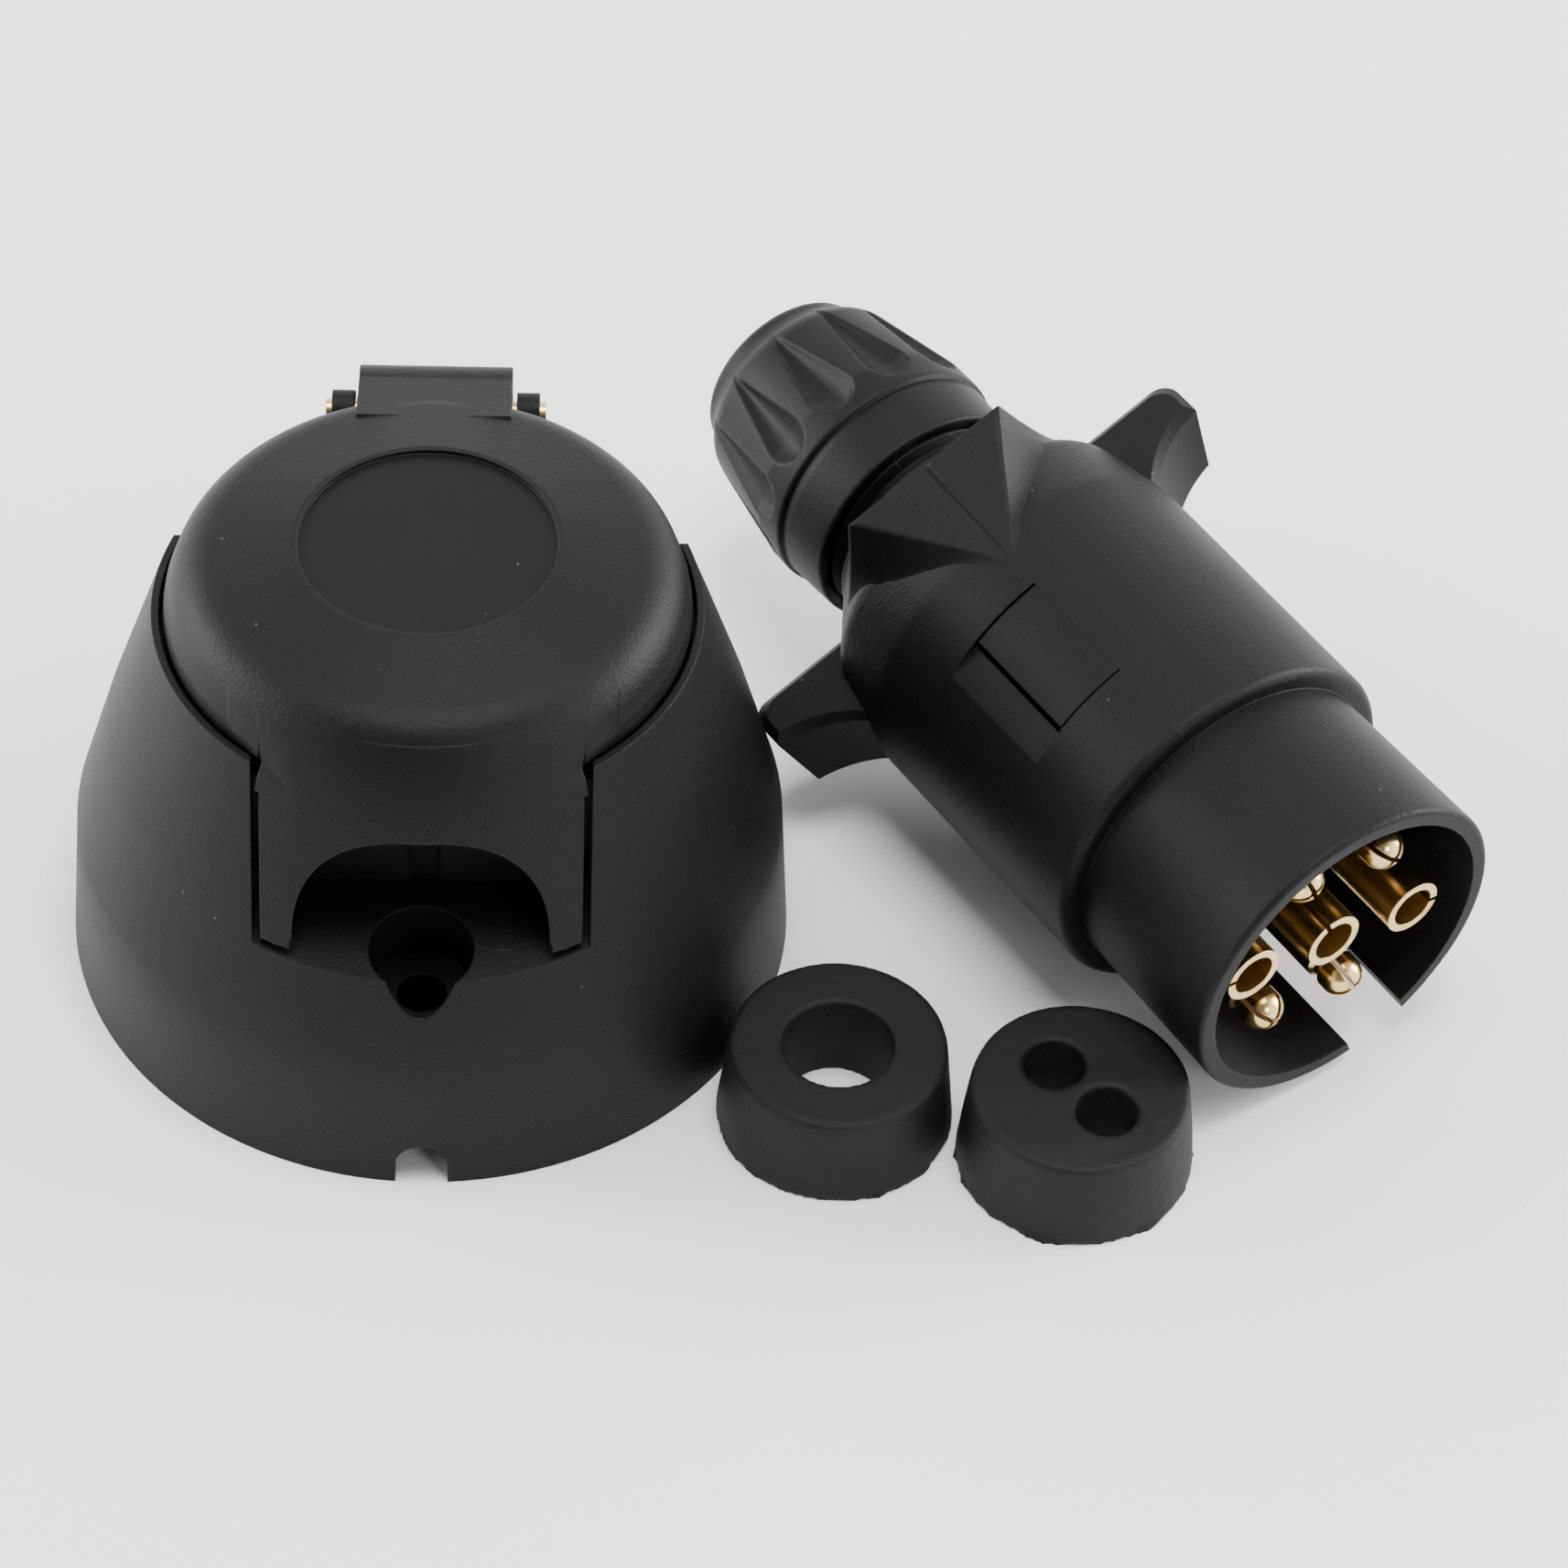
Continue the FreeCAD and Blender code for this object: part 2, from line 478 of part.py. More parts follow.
def make_socket_insert(places):
    """The block in the receptacle: flush holes for the tubes, deep wells round the pins."""
    piece = Piece("socket_insert")
    top = f"({FLOOR} + flange_thick + insert_rise)"
    flange_top = f"({FLOOR} + flange_thick)"
    piece.turn([("0", FLOOR), ("receptacle_radius - clearance", FLOOR),
                ("receptacle_radius - clearance", flange_top), ("insert_radius", flange_top),
                ("insert_radius", top), ("0", top)])
    angles = [angle for angle, _ in places]
    bore_poles(piece, angles[1:], "tube_radius + contact_fit", f"{FLOOR} - 1", "60")
    bore_poles(piece, angles[:1], "tube_radius + contact_fit", f"{FLOOR} - 1", "60")
    wells = [angle for angle, is_pin in places if is_pin]
    bore_poles(piece, wells, "tube_radius + 0.6", flange_top, "60")
    for side in ("", "-"):
        piece.slab("XY_Plane", ((f"{side}fixing_offset", "0", "fixing_head + 0.2"),), "60", kind="Pocket",
                   lift=flange_top, reverse=True)
        piece.slab("XY_Plane", ((f"{side}fixing_offset", "0", "fixing_radius + clearance"),), "60",
                   kind="Pocket", lift=f"{FLOOR} - 1", reverse=True)
    piece.round_rings("0.4", ("insert_radius", top))
    return piece


def make_insert_screws():
    """The two screws that hold the block to the receptacle's floor."""
    head_base = worth(f"{FLOOR} + flange_thick") + 0.02
    screws = []
    for side in (1, -1):
        spot = FreeCAD.Vector(side * worth("fixing_offset"), 0, head_base)
        shank_length = worth("flange_thick + floor_wall") + 2
        foot = spot - FreeCAD.Vector(0, 0, shank_length)
        shank = Part.makeCylinder(worth("fixing_radius"), shank_length, foot)
        head_radius = worth("fixing_head")
        head = Part.makeCylinder(head_radius, 2.0, spot)
        head = head.makeFillet(0.5, [edge for edge in head.Edges if edge.BoundBox.ZMin > head_base + 1.9])
        corner = spot + FreeCAD.Vector(-head_radius - 0.5, -0.4, 1.2)
        slot = Part.makeBox(2 * head_radius + 1, 0.8, 1.0, corner)
        screws.append(head.fuse(shank).cut(slot))
    feature = doc.addObject("Part::Feature", "insert_screws")
    feature.Label = "insert_screws"
    feature.Shape = Part.makeCompound(screws)
    return feature


BLOCK_FACE = "(step_back + 0.1)"
BLOCK_BACK = f"({BLOCK_FACE} + block_thick)"
GROOVE = ("(step_back + 3.8)", "(step_back + 7.0)", "1.5")


def make_plug_insert():
    """The disc in the plug that carries its contacts, with a rim locked in the shells' groove."""
    piece = Piece("plug_insert")
    front, back, depth = GROOVE
    disc = "(shroud_bore - clearance)"
    rim = f"(shroud_bore + {depth} - clearance)"
    piece.turn([("0", f"-{BLOCK_BACK}"), (disc, f"-{BLOCK_BACK}"), (disc, f"-{back} + clearance"),
                (rim, f"-{back} + clearance"), (rim, f"-{front} - clearance"), (disc, f"-{front} - clearance"),
                (disc, f"-{BLOCK_FACE}"), ("0", f"-{BLOCK_FACE}")])
    for angles in ([None], [30 + 60 * step for step in range(RING_COUNT)]):
        bore_poles(piece, angles, "tube_radius + contact_fit", f"-{BLOCK_BACK} - 1", "block_thick + 2")
    return piece


# ---------------------------------------------------------------- plug shells
TAIL_END = "(thread_start + thread_count * thread_pitch + 0.5)"


def thread_rings():
    """The tail's thread as rings, from the last one forward to the neck."""
    corners = []
    for turn in range(int(worth("thread_count"))):
        start = f"(thread_start + {turn} * thread_pitch)"
        corners += [("neck_radius", f"-{start}"), ("thread_radius", f"-{start} - 0.28 * thread_pitch"),
                    ("thread_radius", f"-{start} - 0.48 * thread_pitch"),
                    ("neck_radius", f"-{start} - 0.76 * thread_pitch")]
    return corners


def shell_section():
    """The wall of the plug, as half of a section through its axis, mouth upward."""
    front, back, depth = GROOVE
    outer = [("mouth_radius", "0"), ("shroud_radius", "-step_back"), ("grip_radius", "-step_back"),
             ("grip_radius", "-grip_back"), ("shoulder_radius", "-shoulder_back"),
             ("collar_radius", "-tail_back"), ("collar_radius", "-tail_back - collar_wall"),
             ("neck_radius", "-tail_back - collar_wall")]
    inner = [("neck_radius", f"-{TAIL_END}"), ("bore_radius", f"-{TAIL_END}"), ("bore_radius", "-tail_back + 2")]
    hollow = [("shoulder_radius - grip_wall - 1", "2 - shoulder_back"), ("grip_radius - grip_wall", "2 - grip_back"),
              ("grip_radius - grip_wall", f"-{BLOCK_BACK} - 2"), ("shroud_bore", f"-{BLOCK_BACK} - 0.3"),
              ("shroud_bore", f"-{back}"), (f"shroud_bore + {depth}", f"-{back}"),
              (f"shroud_bore + {depth}", f"-{front}"), ("shroud_bore", f"-{front}"),
              ("shroud_bore", "0")]
    return outer + thread_rings() + inner + hollow


def make_shell(label, side):
    """One half of the plug: side 1 is the half at +X, side -1 the other."""
    piece = Piece(label)
    piece.turn(shell_section(), angle=180, role="YZ_Plane", reverse=side > 0)
    piece.round_rings("0.7", ("mouth_radius", "0"))
    piece.round_rings("1.1", ("grip_radius", "-step_back"))
    piece.round_rings("9", ("grip_radius", "-grip_back"))
    piece.round_rings("4", ("shoulder_radius", "-shoulder_back"))
    add_lug(piece, side)
    add_wing(piece, side)
    cavity = [("0", "2 - tail_back"), ("bore_radius", "2 - tail_back"),
              ("shoulder_radius - grip_wall - 1", "2 - shoulder_back"),
              ("grip_radius - grip_wall", "2 - grip_back"), ("grip_radius - grip_wall", f"-{BLOCK_BACK} - 2"),
              ("0", f"-{BLOCK_BACK} - 2")]
    piece.turn(cavity, kind="Groove")
    piece.slab("XZ_Plane", box("-keyway_half", "keyway_half", "-keyway_back", "1"), "mouth_radius + 2",
               kind="Pocket", reverse=True)
    if side > 0:
        add_snap_tongue(piece)
    else:
        cut_snap_window(piece)
    return piece


def lug_section(side, half, height):
    """The lug's section: a flat top, and a hollowed side that runs out below the grip's surface."""
    return [("0", "10"), (f"{side} * lug_foot", "lug_root", f"-{side} * lug_hollow"),
            (f"{side} * {half}", height), ("0", height)]


def add_lug(piece, side):
    """Half of the latch lug: a flat-topped delta that rises and widens towards the rear."""
    piece.loft("XY_Plane", [("-lug_back", lug_section(side, "lug_half", "lug_height")),
                            ("-lug_front", lug_section(side, "lug_tip", "grip_radius - 0.05"))])


def wing_outline(side, inset, lean):
    """The wing seen along its thickness: straight rear, round tip, hollowed front."""
    tip = f"(wing_span - {inset} - {lean})"
    back = f"(wing_back - {inset})"
    tip_front = f"(wing_tip_front + {inset} - 1.2 * {lean})"
    root_front = f"(wing_front + {inset} - {lean} / 2)"
    return [(f"{side} * 10", f"-{back}"),
            (f"{side} * ({tip} - wing_corner)", f"-{back}", f"{side} * wing_corner"),
            (f"{side} * {tip}", f"wing_corner - {back}"),
            (f"{side} * {tip}", f"-{tip_front}", f"-{side} * wing_scoop"),
            (f"{side} * (grip_radius - 1.5)", f"-{root_front}"),
            (f"{side} * 10", f"-{root_front}")]


def add_wing(piece, side):
    """The finger wing, with its edges eased and its underside leaning in and forward."""
    levels = (("wing_half", "wing_edge", "0"), ("wing_half - wing_edge", "0", "0"),
              ("wing_edge - wing_half", "0", "wing_lean"), ("-wing_half", "wing_edge", "wing_lean"))
    sections = [(f"-({height})", wing_outline(side, inset, lean)) for height, inset, lean in levels]
    piece.loft("XZ_Plane", sections)


def add_snap_tongue(piece):
    """The tongue of the +X half, which reaches over the seam into the other half's window."""
    reach = "asin((window_width - window_gap) / grip_radius)"
    piece.turn(box("grip_radius - grip_wall + 0.2", "grip_radius - 0.15", "window_gap - window_back",
                   "-window_front - window_gap"), angle=reach, role="YZ_Plane")


def cut_snap_window(piece):
    """The window for the tongue, and the shallow ramp beside it for a screwdriver."""
    piece.slab("XZ_Plane", box("-window_width", "1", "-window_back", "-window_front"), "grip_radius + 2",
               kind="Pocket")
    edge = "sqrt(grip_radius ^ 2 - window_width ^ 2)"
    piece.slab("XY_Plane", [("-window_width - 4", "grip_radius + 1"), ("-window_width - 4", f"{edge} - 2.4"),
                            ("-window_width + 0.1", f"{edge} - 0.9"), ("-window_width + 0.1", "grip_radius + 1")],
               "window_back - window_front", kind="Pocket", lift="-window_back", reverse=True)


# ---------------------------------------------------------------- gland nut and seals
def make_nut():
    """The gland nut: a tapered cap with a smooth collar and teardrop flutes."""
    piece = Piece("gland_nut")
    bore = "(thread_radius + nut_fit)"
    piece.turn([("nut_front_radius", "-nut_front"), ("nut_front_radius + 0.4", "-nut_collar"),
                ("nut_radius", "-nut_collar - 0.4"), ("nut_radius", "-nut_collar - 4.5"),
                ("nut_rear_radius", "-nut_rear"), ("nut_rear_radius - 2.4", "-nut_end"),
                ("nut_mouth", "-nut_end"), ("nut_mouth", "-nut_rear - 2"),
                ("nut_rear_radius - nut_wall", "-nut_rear"), (bore, "-nut_front - 13.5"), (bore, "-nut_front")])
    piece.round_rings("4", ("nut_rear_radius", "-nut_rear"))
    piece.round_rings("1.6", ("nut_rear_radius - 2.4", "-nut_end"))
    middle = worth("(nut_collar + 4.5 + nut_rear) / 2")
    slope = math.atan2(worth("nut_radius - nut_rear_radius"), worth("nut_rear - nut_collar - 4.5"))
    flute = piece.body.newObject("PartDesign::SubtractiveEllipsoid", piece.name("flute"))
    flute.setExpression("Radius1", formula("flute_length"))
    flute.setExpression("Radius2", formula("flute_half"))
    flute.setExpression("Radius3", formula("flute_half"))
    flute.Angle1, flute.Angle2, flute.Angle3 = -90, 90, 360
    out = worth("(nut_radius + nut_rear_radius) / 2 - flute_depth + flute_half")
    turn = FreeCAD.Rotation(FreeCAD.Vector(0, 1, 0), math.degrees(slope))
    flute.Placement = FreeCAD.Placement(FreeCAD.Vector(out, 0, -middle), turn)
    doc.recompute()
    piece.around([flute], "flute_count")
    return piece


def make_washer():
    piece = Piece("gland_washer")
    piece.turn(box("bore_radius", "washer_radius", "-washer_back - washer_thick", "-washer_back"))
    return piece


def make_seal(label, holes):
    """A tapered rubber plug with one or two cable holes."""
    piece = Piece(label)
    piece.turn([("0", "0"), ("seal_radius", "0"), ("seal_top_radius", "seal_height"), ("0", "seal_height")])
    piece.round_rings("0.5", ("seal_top_radius", "seal_height"))
    piece.slab("XY_Plane", holes, "seal_height + 2", kind="Pocket", lift="-1", reverse=True)
    return piece


# ---------------------------------------------------------------- assembly
def plug_attitude():
    """How the plug lies: X across, Y towards its lug, Z out of its mouth."""
    heading, dip, roll = (math.radians(worth(name)) for name in ("plug_heading", "plug_dip", "plug_roll"))
    ahead = FreeCAD.Vector(math.cos(dip) * math.sin(heading), -math.cos(dip) * math.cos(heading), -math.sin(dip))
    level = FreeCAD.Vector(math.cos(heading), math.sin(heading), 0)
    upright = level.cross(ahead) * -1
    across = level * math.cos(roll) + upright * math.sin(roll)
    towards_lug = upright * math.cos(roll) - level * math.sin(roll)
    return FreeCAD.Rotation(across, towards_lug, ahead, "ZXY")


def lowest(shape, turn):
    """The lowest height that a turned shape reaches."""
    turned = shape.copy()
    turned.Placement = FreeCAD.Placement(FreeCAD.Vector(0, 0, 0), turn)
    return turned.optimalBoundingBox(False, False).ZMin


def place(part, placement):
    """Set a sub-part's Placement, in front of the one it may already have."""
    target = part.body if isinstance(part, Piece) else part
    target.Placement = placement.multiply(target.Placement)
    return target


def socket_parts():
    """Everything fixed to the housing. Its poles mirror the plug's, with pins facing tubes."""
    placed = [place(make_housing(), FreeCAD.Placement()), place(make_receptacle(), FreeCAD.Placement())]
    poles = [(angle if angle is None else 180 - angle, not is_pin) for angle, is_pin in contact_places()]
    placed.append(place(make_socket_insert(poles), FreeCAD.Placement()))
    seats = []
    counts = {True: 0, False: 0}
    for angle, is_pin in poles:
        counts[is_pin] += 1
        x, y = pole_position(angle)
        turn = FreeCAD.Rotation(FreeCAD.Vector(0, 0, 1), 90 if angle is None else angle)
        seat = FreeCAD.Placement(FreeCAD.Vector(x, y, worth(FLOOR)), turn)
        make, kind = (make_pin, "pin") if is_pin else (make_tube, "tube")
        placed.append(place(make(f"socket_{kind}_{counts[is_pin]}", "flange_thick", "insert_reach"), seat))
        seats.append(seat)
    placed.append(make_terminal_screws("socket_terminal_screws", seats))
    placed.append(make_insert_screws())
    placed += [place(make_hinge_pin(), FreeCAD.Placement()), make_spring()]
    placed += [place(make_lid(), FreeCAD.Placement()), place(make_gasket(), FreeCAD.Placement())]
    return placed


def plug_parts():
    """The plug's pieces, in its own axes with the mouth at height 0."""
    placed = [make_shell("plug_shell_right", 1).body, make_shell("plug_shell_left", -1).body,
              make_plug_insert().body]
    seats = []
    counts = {True: 0, False: 0}
    for angle, is_pin in contact_places():
        counts[is_pin] += 1
        x, y = pole_position(angle)
        turn = FreeCAD.Rotation(FreeCAD.Vector(0, 0, 1), 90 if angle is None else angle)
        seat = FreeCAD.Placement(FreeCAD.Vector(x, y, -worth(BLOCK_BACK)), turn)
        make, kind = (make_pin, "pin") if is_pin else (make_tube, "tube")
        placed.append(place(make(f"plug_{kind}_{counts[is_pin]}", "block_thick", "contact_reach"), seat))
        seats.append(seat)
    placed.append(make_terminal_screws("plug_terminal_screws", seats))
    return placed + [make_nut().body, make_washer().body]


def lay_down(plug):
    """Lay the plug on the ground plane at its heading, dip and roll."""
    turn = plug_attitude()
    rise = -min(lowest(body.Shape, turn) for body in plug[:2])
    spot = FreeCAD.Vector(worth("plug_right"), -worth("plug_ahead"), rise)
    for body in plug:
        place(body, FreeCAD.Placement(spot, turn))
    print("plug mouth at", spot, "out of its mouth", turn.multVec(FreeCAD.Vector(0, 0, 1)))


def seal_parts():
    single = make_seal("cable_seal_single", (("0", "0", "single_hole"),))
    pair = (("twin_spacing / 2", "0", "twin_hole"), ("-twin_spacing / 2", "0", "twin_hole"))
    twin = make_seal("cable_seal_twin", pair)
    spots = {single: ("single_right", "single_ahead", "0"), twin: ("twin_right", "twin_ahead", "twin_turn")}
    for seal, (right, ahead, turn) in spots.items():
        place(seal, FreeCAD.Placement(FreeCAD.Vector(worth(right), -worth(ahead), 0),
                                      FreeCAD.Rotation(FreeCAD.Vector(0, 0, 1), worth(turn))))
    return [single.body, twin.body]


def check_and_write(parts):
    """Stop on any failed object or empty shape, then write each sub-part to its own file."""
    doc.recompute()
    failed = [item.Name for item in doc.Objects if {"Invalid", "Error"} & set(item.State)]
    bad = [part.Label for part in parts if part.Shape.isNull() or not part.Shape.isValid()]
    if failed or bad:
        raise RuntimeError(f"failed objects {failed}, bad shapes {bad}")
    os.makedirs("parts", exist_ok=True)
    for part in parts:
        part.Shape.exportStep(f"parts/{part.Label}.step")
        print(part.Label, len(part.Shape.Solids), round(part.Shape.Volume, 1))


plug = plug_parts()
lay_down(plug)
check_and_write(socket_parts() + plug + seal_parts())
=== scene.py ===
# %% [markdown]
# # A seven-pole trailer socket, its plug and two cable seals
# The engineering model is already made: every housing, contact and screw arrives as a mesh that
# stands where it belongs. This lesson gives those meshes their looks. It adds a camera, soft
# light, procedural materials, and new meshes for the pieces whose surfaces were shaped by hand
# or by a mould: the swept lug on the plug, the apron of the lid, the fluted gland nut and the
# two rubber seals.

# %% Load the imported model
import json
import math

import bmesh
import bpy
from mathutils import Matrix, Vector, noise


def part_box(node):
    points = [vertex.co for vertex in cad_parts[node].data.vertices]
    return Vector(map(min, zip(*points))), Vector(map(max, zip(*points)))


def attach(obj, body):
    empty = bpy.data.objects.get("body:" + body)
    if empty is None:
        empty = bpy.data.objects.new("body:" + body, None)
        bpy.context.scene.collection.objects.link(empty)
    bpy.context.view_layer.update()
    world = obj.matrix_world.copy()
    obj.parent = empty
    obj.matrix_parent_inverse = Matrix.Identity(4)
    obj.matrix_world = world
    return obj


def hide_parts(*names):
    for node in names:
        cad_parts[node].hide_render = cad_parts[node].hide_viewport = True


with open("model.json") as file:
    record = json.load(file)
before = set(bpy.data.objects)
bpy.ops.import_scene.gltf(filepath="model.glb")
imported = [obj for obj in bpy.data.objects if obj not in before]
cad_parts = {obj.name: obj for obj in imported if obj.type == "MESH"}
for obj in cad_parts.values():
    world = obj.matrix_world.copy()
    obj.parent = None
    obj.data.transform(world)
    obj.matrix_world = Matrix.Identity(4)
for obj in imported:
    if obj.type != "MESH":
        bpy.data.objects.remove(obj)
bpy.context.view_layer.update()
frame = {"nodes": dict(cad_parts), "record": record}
nodes = frame["nodes"]
mounts = {mount["name"]: mount for mount in frame["record"]["mounts"]}
MM = 0.001

# %% [markdown]
# ## Where the camera stands
# A small object that should look undistorted is seen from well away through a long lens. The
# camera here looks down at 46.6 degrees from 0.7 m, turned a few degrees so that the socket
# stands nearly square to it. Its matrix is built from three plain directions: forward, right and
# up, which is easier to reason about than three Euler angles.

# %% Camera
AIM = Vector((0.040956, 0.020624, 0.0))
VIEW_TURN = math.radians(-2.8)
VIEW_DOWN = math.radians(46.6)
VIEW_ROLL = math.radians(2.93)
VIEW_DISTANCE = 0.7
LENS = 135.9


def look_matrix(aim, turn, down, roll, distance):
    """A camera matrix that looks at a point, from a heading, a downward angle and a roll."""
    ahead = Vector((-math.sin(turn), math.cos(turn), 0))
    right = Vector((ahead.y, -ahead.x, 0))
    forward = ahead * math.cos(down) - Vector((0, 0, math.sin(down)))
    up = right.cross(forward)
    across = right * math.cos(roll) + up * math.sin(roll)
    top = up * math.cos(roll) - right * math.sin(roll)
    turned = Matrix((across, top, -forward)).transposed().to_4x4()
    return Matrix.Translation(aim - forward * distance) @ turned


camera_data = bpy.data.cameras.new("camera")
camera_data.lens = LENS
camera_data.clip_start = 0.05
camera = bpy.data.objects.new("camera", camera_data)
camera.matrix_world = look_matrix(AIM, VIEW_TURN, VIEW_DOWN, VIEW_ROLL, VIEW_DISTANCE)
bpy.context.scene.collection.objects.link(camera)
bpy.context.scene.camera = camera
print("camera at", [round(value, 3) for value in camera.location])

# %% [markdown]
# ## Writing node trees as arithmetic
# Shader and geometry trees are long to write socket by socket. The class below holds one output
# socket and turns `a * b + 1` into the Math nodes that compute it, so a formula reads like a
# formula. Every other node comes from one method, `add`, which sets the node's settings first
# and then gives its inputs values or links.

# %% A socket that does sums
class Signal:
    """One output socket of a node tree. Arithmetic on it adds Math nodes to the tree."""

    def __init__(self, tree, socket):
        self.tree = tree
        self.socket = socket

    def math(self, operation, *others):
        inputs = dict(enumerate((self,) + others))
        return self.tree.add("ShaderNodeMath", {"operation": operation}, inputs)

    def __add__(self, other):
        return self.math("ADD", other)

    def __radd__(self, other):
        return self.math("ADD", other)

    def __mul__(self, other):
        return self.math("MULTIPLY", other)

    def __rmul__(self, other):
        return self.math("MULTIPLY", other)

    def __sub__(self, other):
        return self.math("SUBTRACT", other)

    def __rsub__(self, other):
        return self.tree.add("ShaderNodeMath", {"operation": "SUBTRACT"}, {0: other, 1: self})

    def __truediv__(self, other):
        return self.math("DIVIDE", other)

    def smooth(self, low, high):
        """0 below low, 1 above high, and a soft step between."""
        return self.tree.add("ShaderNodeMapRange", {"interpolation_type": "SMOOTHSTEP"},
                             {"Value": self, "From Min": low, "From Max": high})


class Tree:
    """A node tree with one method that adds any node."""

    def __init__(self, tree):
        self.tree = tree
        self.tree.nodes.clear()

    def add(self, kind, settings=None, inputs=None, output=0):
        """Add a node, set its settings, then fill its inputs by name or number."""
        node = self.tree.nodes.new(kind)
        for name, value in (settings or {}).items():
            setattr(node, name, value)
        for name, value in (inputs or {}).items():
            socket = node.inputs[name]
            if isinstance(value, Signal):
                self.tree.links.new(value.socket, socket)
            else:
                socket.default_value = value
        return Signal(self, node.outputs[output]) if node.outputs else node


print("node helper ready")

# %% [markdown]
# ## The finishes
# Nylon mouldings come out of a spark-eroded mould with a fine sand grain. Up close the surface is
# never even: the grain breaks up the highlight, handling leaves pale hairlines and dust specks,
# and edges polish a little brighter. One function makes that family of finishes from a few
# numbers. All patterns read Object coordinates in metres, so a scale of 1 / 0.0004 is a grain of
# 0.4 mm.

# %% Black moulded nylon
def begin(name):
    """A new material, its tree and its Object coordinates."""
    material = bpy.data.materials.new(name)
    material.use_nodes = True
    tree = Tree(material.node_tree)
    place = tree.add("ShaderNodeTexCoord", output="Object")
    return material, tree, place


def finish_material(tree, inputs):
    """End a tree in one Principled shader with the inputs given."""
    shader = tree.add("ShaderNodeBsdfPrincipled", inputs=inputs)
    tree.add("ShaderNodeOutputMaterial", inputs={"Surface": shader})


def cloud(tree, place, size, detail=2.0, roughness=0.5):
    """Noise whose blotches are about `size` metres across, from 0 to 1."""
    return tree.add("ShaderNodeTexNoise", inputs={
        "Vector": place, "Scale": 1 / size, "Detail": detail, "Roughness": roughness})


def specks(tree, place, spacing, radius, share):
    """Tiny round specks, in only some of the cells of a spacing."""
    settings = {"feature": "F1"}
    values = {"Vector": place, "Scale": 1 / spacing, "Randomness": 1.0}
    away = tree.add("ShaderNodeTexVoronoi", settings, values, output="Distance")
    lot = tree.add("ShaderNodeTexVoronoi", settings, values, output="Color")
    chosen = tree.add("ShaderNodeSeparateColor", inputs={"Color": lot}).smooth(1 - share, 1.0001 - share)
    reach = radius / spacing
    return (1 - away.smooth(reach * 0.5, reach)) * chosen


def hairlines(tree, place, turn, share):
    """Patches of fine parallel scratches that run at an angle."""
    turned = tree.add("ShaderNodeMapping", inputs={
        "Vector": place, "Rotation": (0.35, 0.2, turn), "Scale": (1.0, 14.0, 14.0)})
    lines = cloud(tree, turned, 0.0035, detail=3.0).smooth(0.70, 0.74)
    patch = cloud(tree, place, 0.009, detail=1.0).smooth(1 - share, 1.06 - share)
    return lines * patch


def worn_edge(tree, reach):
    """Edges rounded by `reach`: the rounded normal, and how far it leans from the flat one."""
    rounded = tree.add("ShaderNodeBevel", {"samples": 6}, {"Radius": reach})
    flat = tree.add("ShaderNodeNewGeometry", output="Normal")
    lean = tree.add("ShaderNodeVectorMath", {"operation": "DOT_PRODUCT"}, {0: rounded, 1: flat},
                    output="Value")
    return rounded, (1 - lean).smooth(0.03, 0.28)


def mix_colour(tree, factor, first, second):
    """Blend two colours, where each is a colour or another mix."""
    node = tree.tree.nodes.new("ShaderNodeMix")
    node.data_type = "RGBA"
    for socket, value in ((node.inputs[0], factor), (node.inputs[6], first), (node.inputs[7], second)):
        if isinstance(value, Signal):
            tree.tree.links.new(value.socket, socket)
        else:
            socket.default_value = value
    return Signal(tree, node.outputs[2])


BLACK = (0.0032, 0.0032, 0.0035, 1.0)
BLACK_WORN = (0.012, 0.012, 0.0126, 1.0)
SCUFF = (0.085, 0.085, 0.085, 1.0)


SIDE_LEANS = ((0.009, 0.027, 0.213), (0.026, 0.038, 0.039))
SIDE_LEAN_AT_FOOT = 0.061
SIDE_MATCH = (0.965, 0.988)


def swept_normal(tree, place, normal):
    """The normal of a round housing whose side curves gently, in place of its shallow creases."""
    parts = tree.add("ShaderNodeSeparateXYZ", inputs={"Vector": place})
    x, y, z = (Signal(tree, parts.socket.node.outputs[index]) for index in range(3))
    lean = SIDE_LEAN_AT_FOOT
    for low, high, added in SIDE_LEANS:
        lean = lean + z.smooth(low, high) * added
    radius = (x * x + y * y).math("SQRT") + 0.000001
    level = lean.math("COSINE") / radius
    ideal = tree.add("ShaderNodeCombineXYZ", inputs={0: x * level, 1: y * level, 2: lean.math("SINE")})
    match = tree.add("ShaderNodeVectorMath", {"operation": "DOT_PRODUCT"}, {0: ideal, 1: normal},
                     output="Value").smooth(*SIDE_MATCH)
    return tree.add("ShaderNodeMix", {"data_type": "VECTOR"}, {0: match, 4: normal, 5: ideal}, output=1)


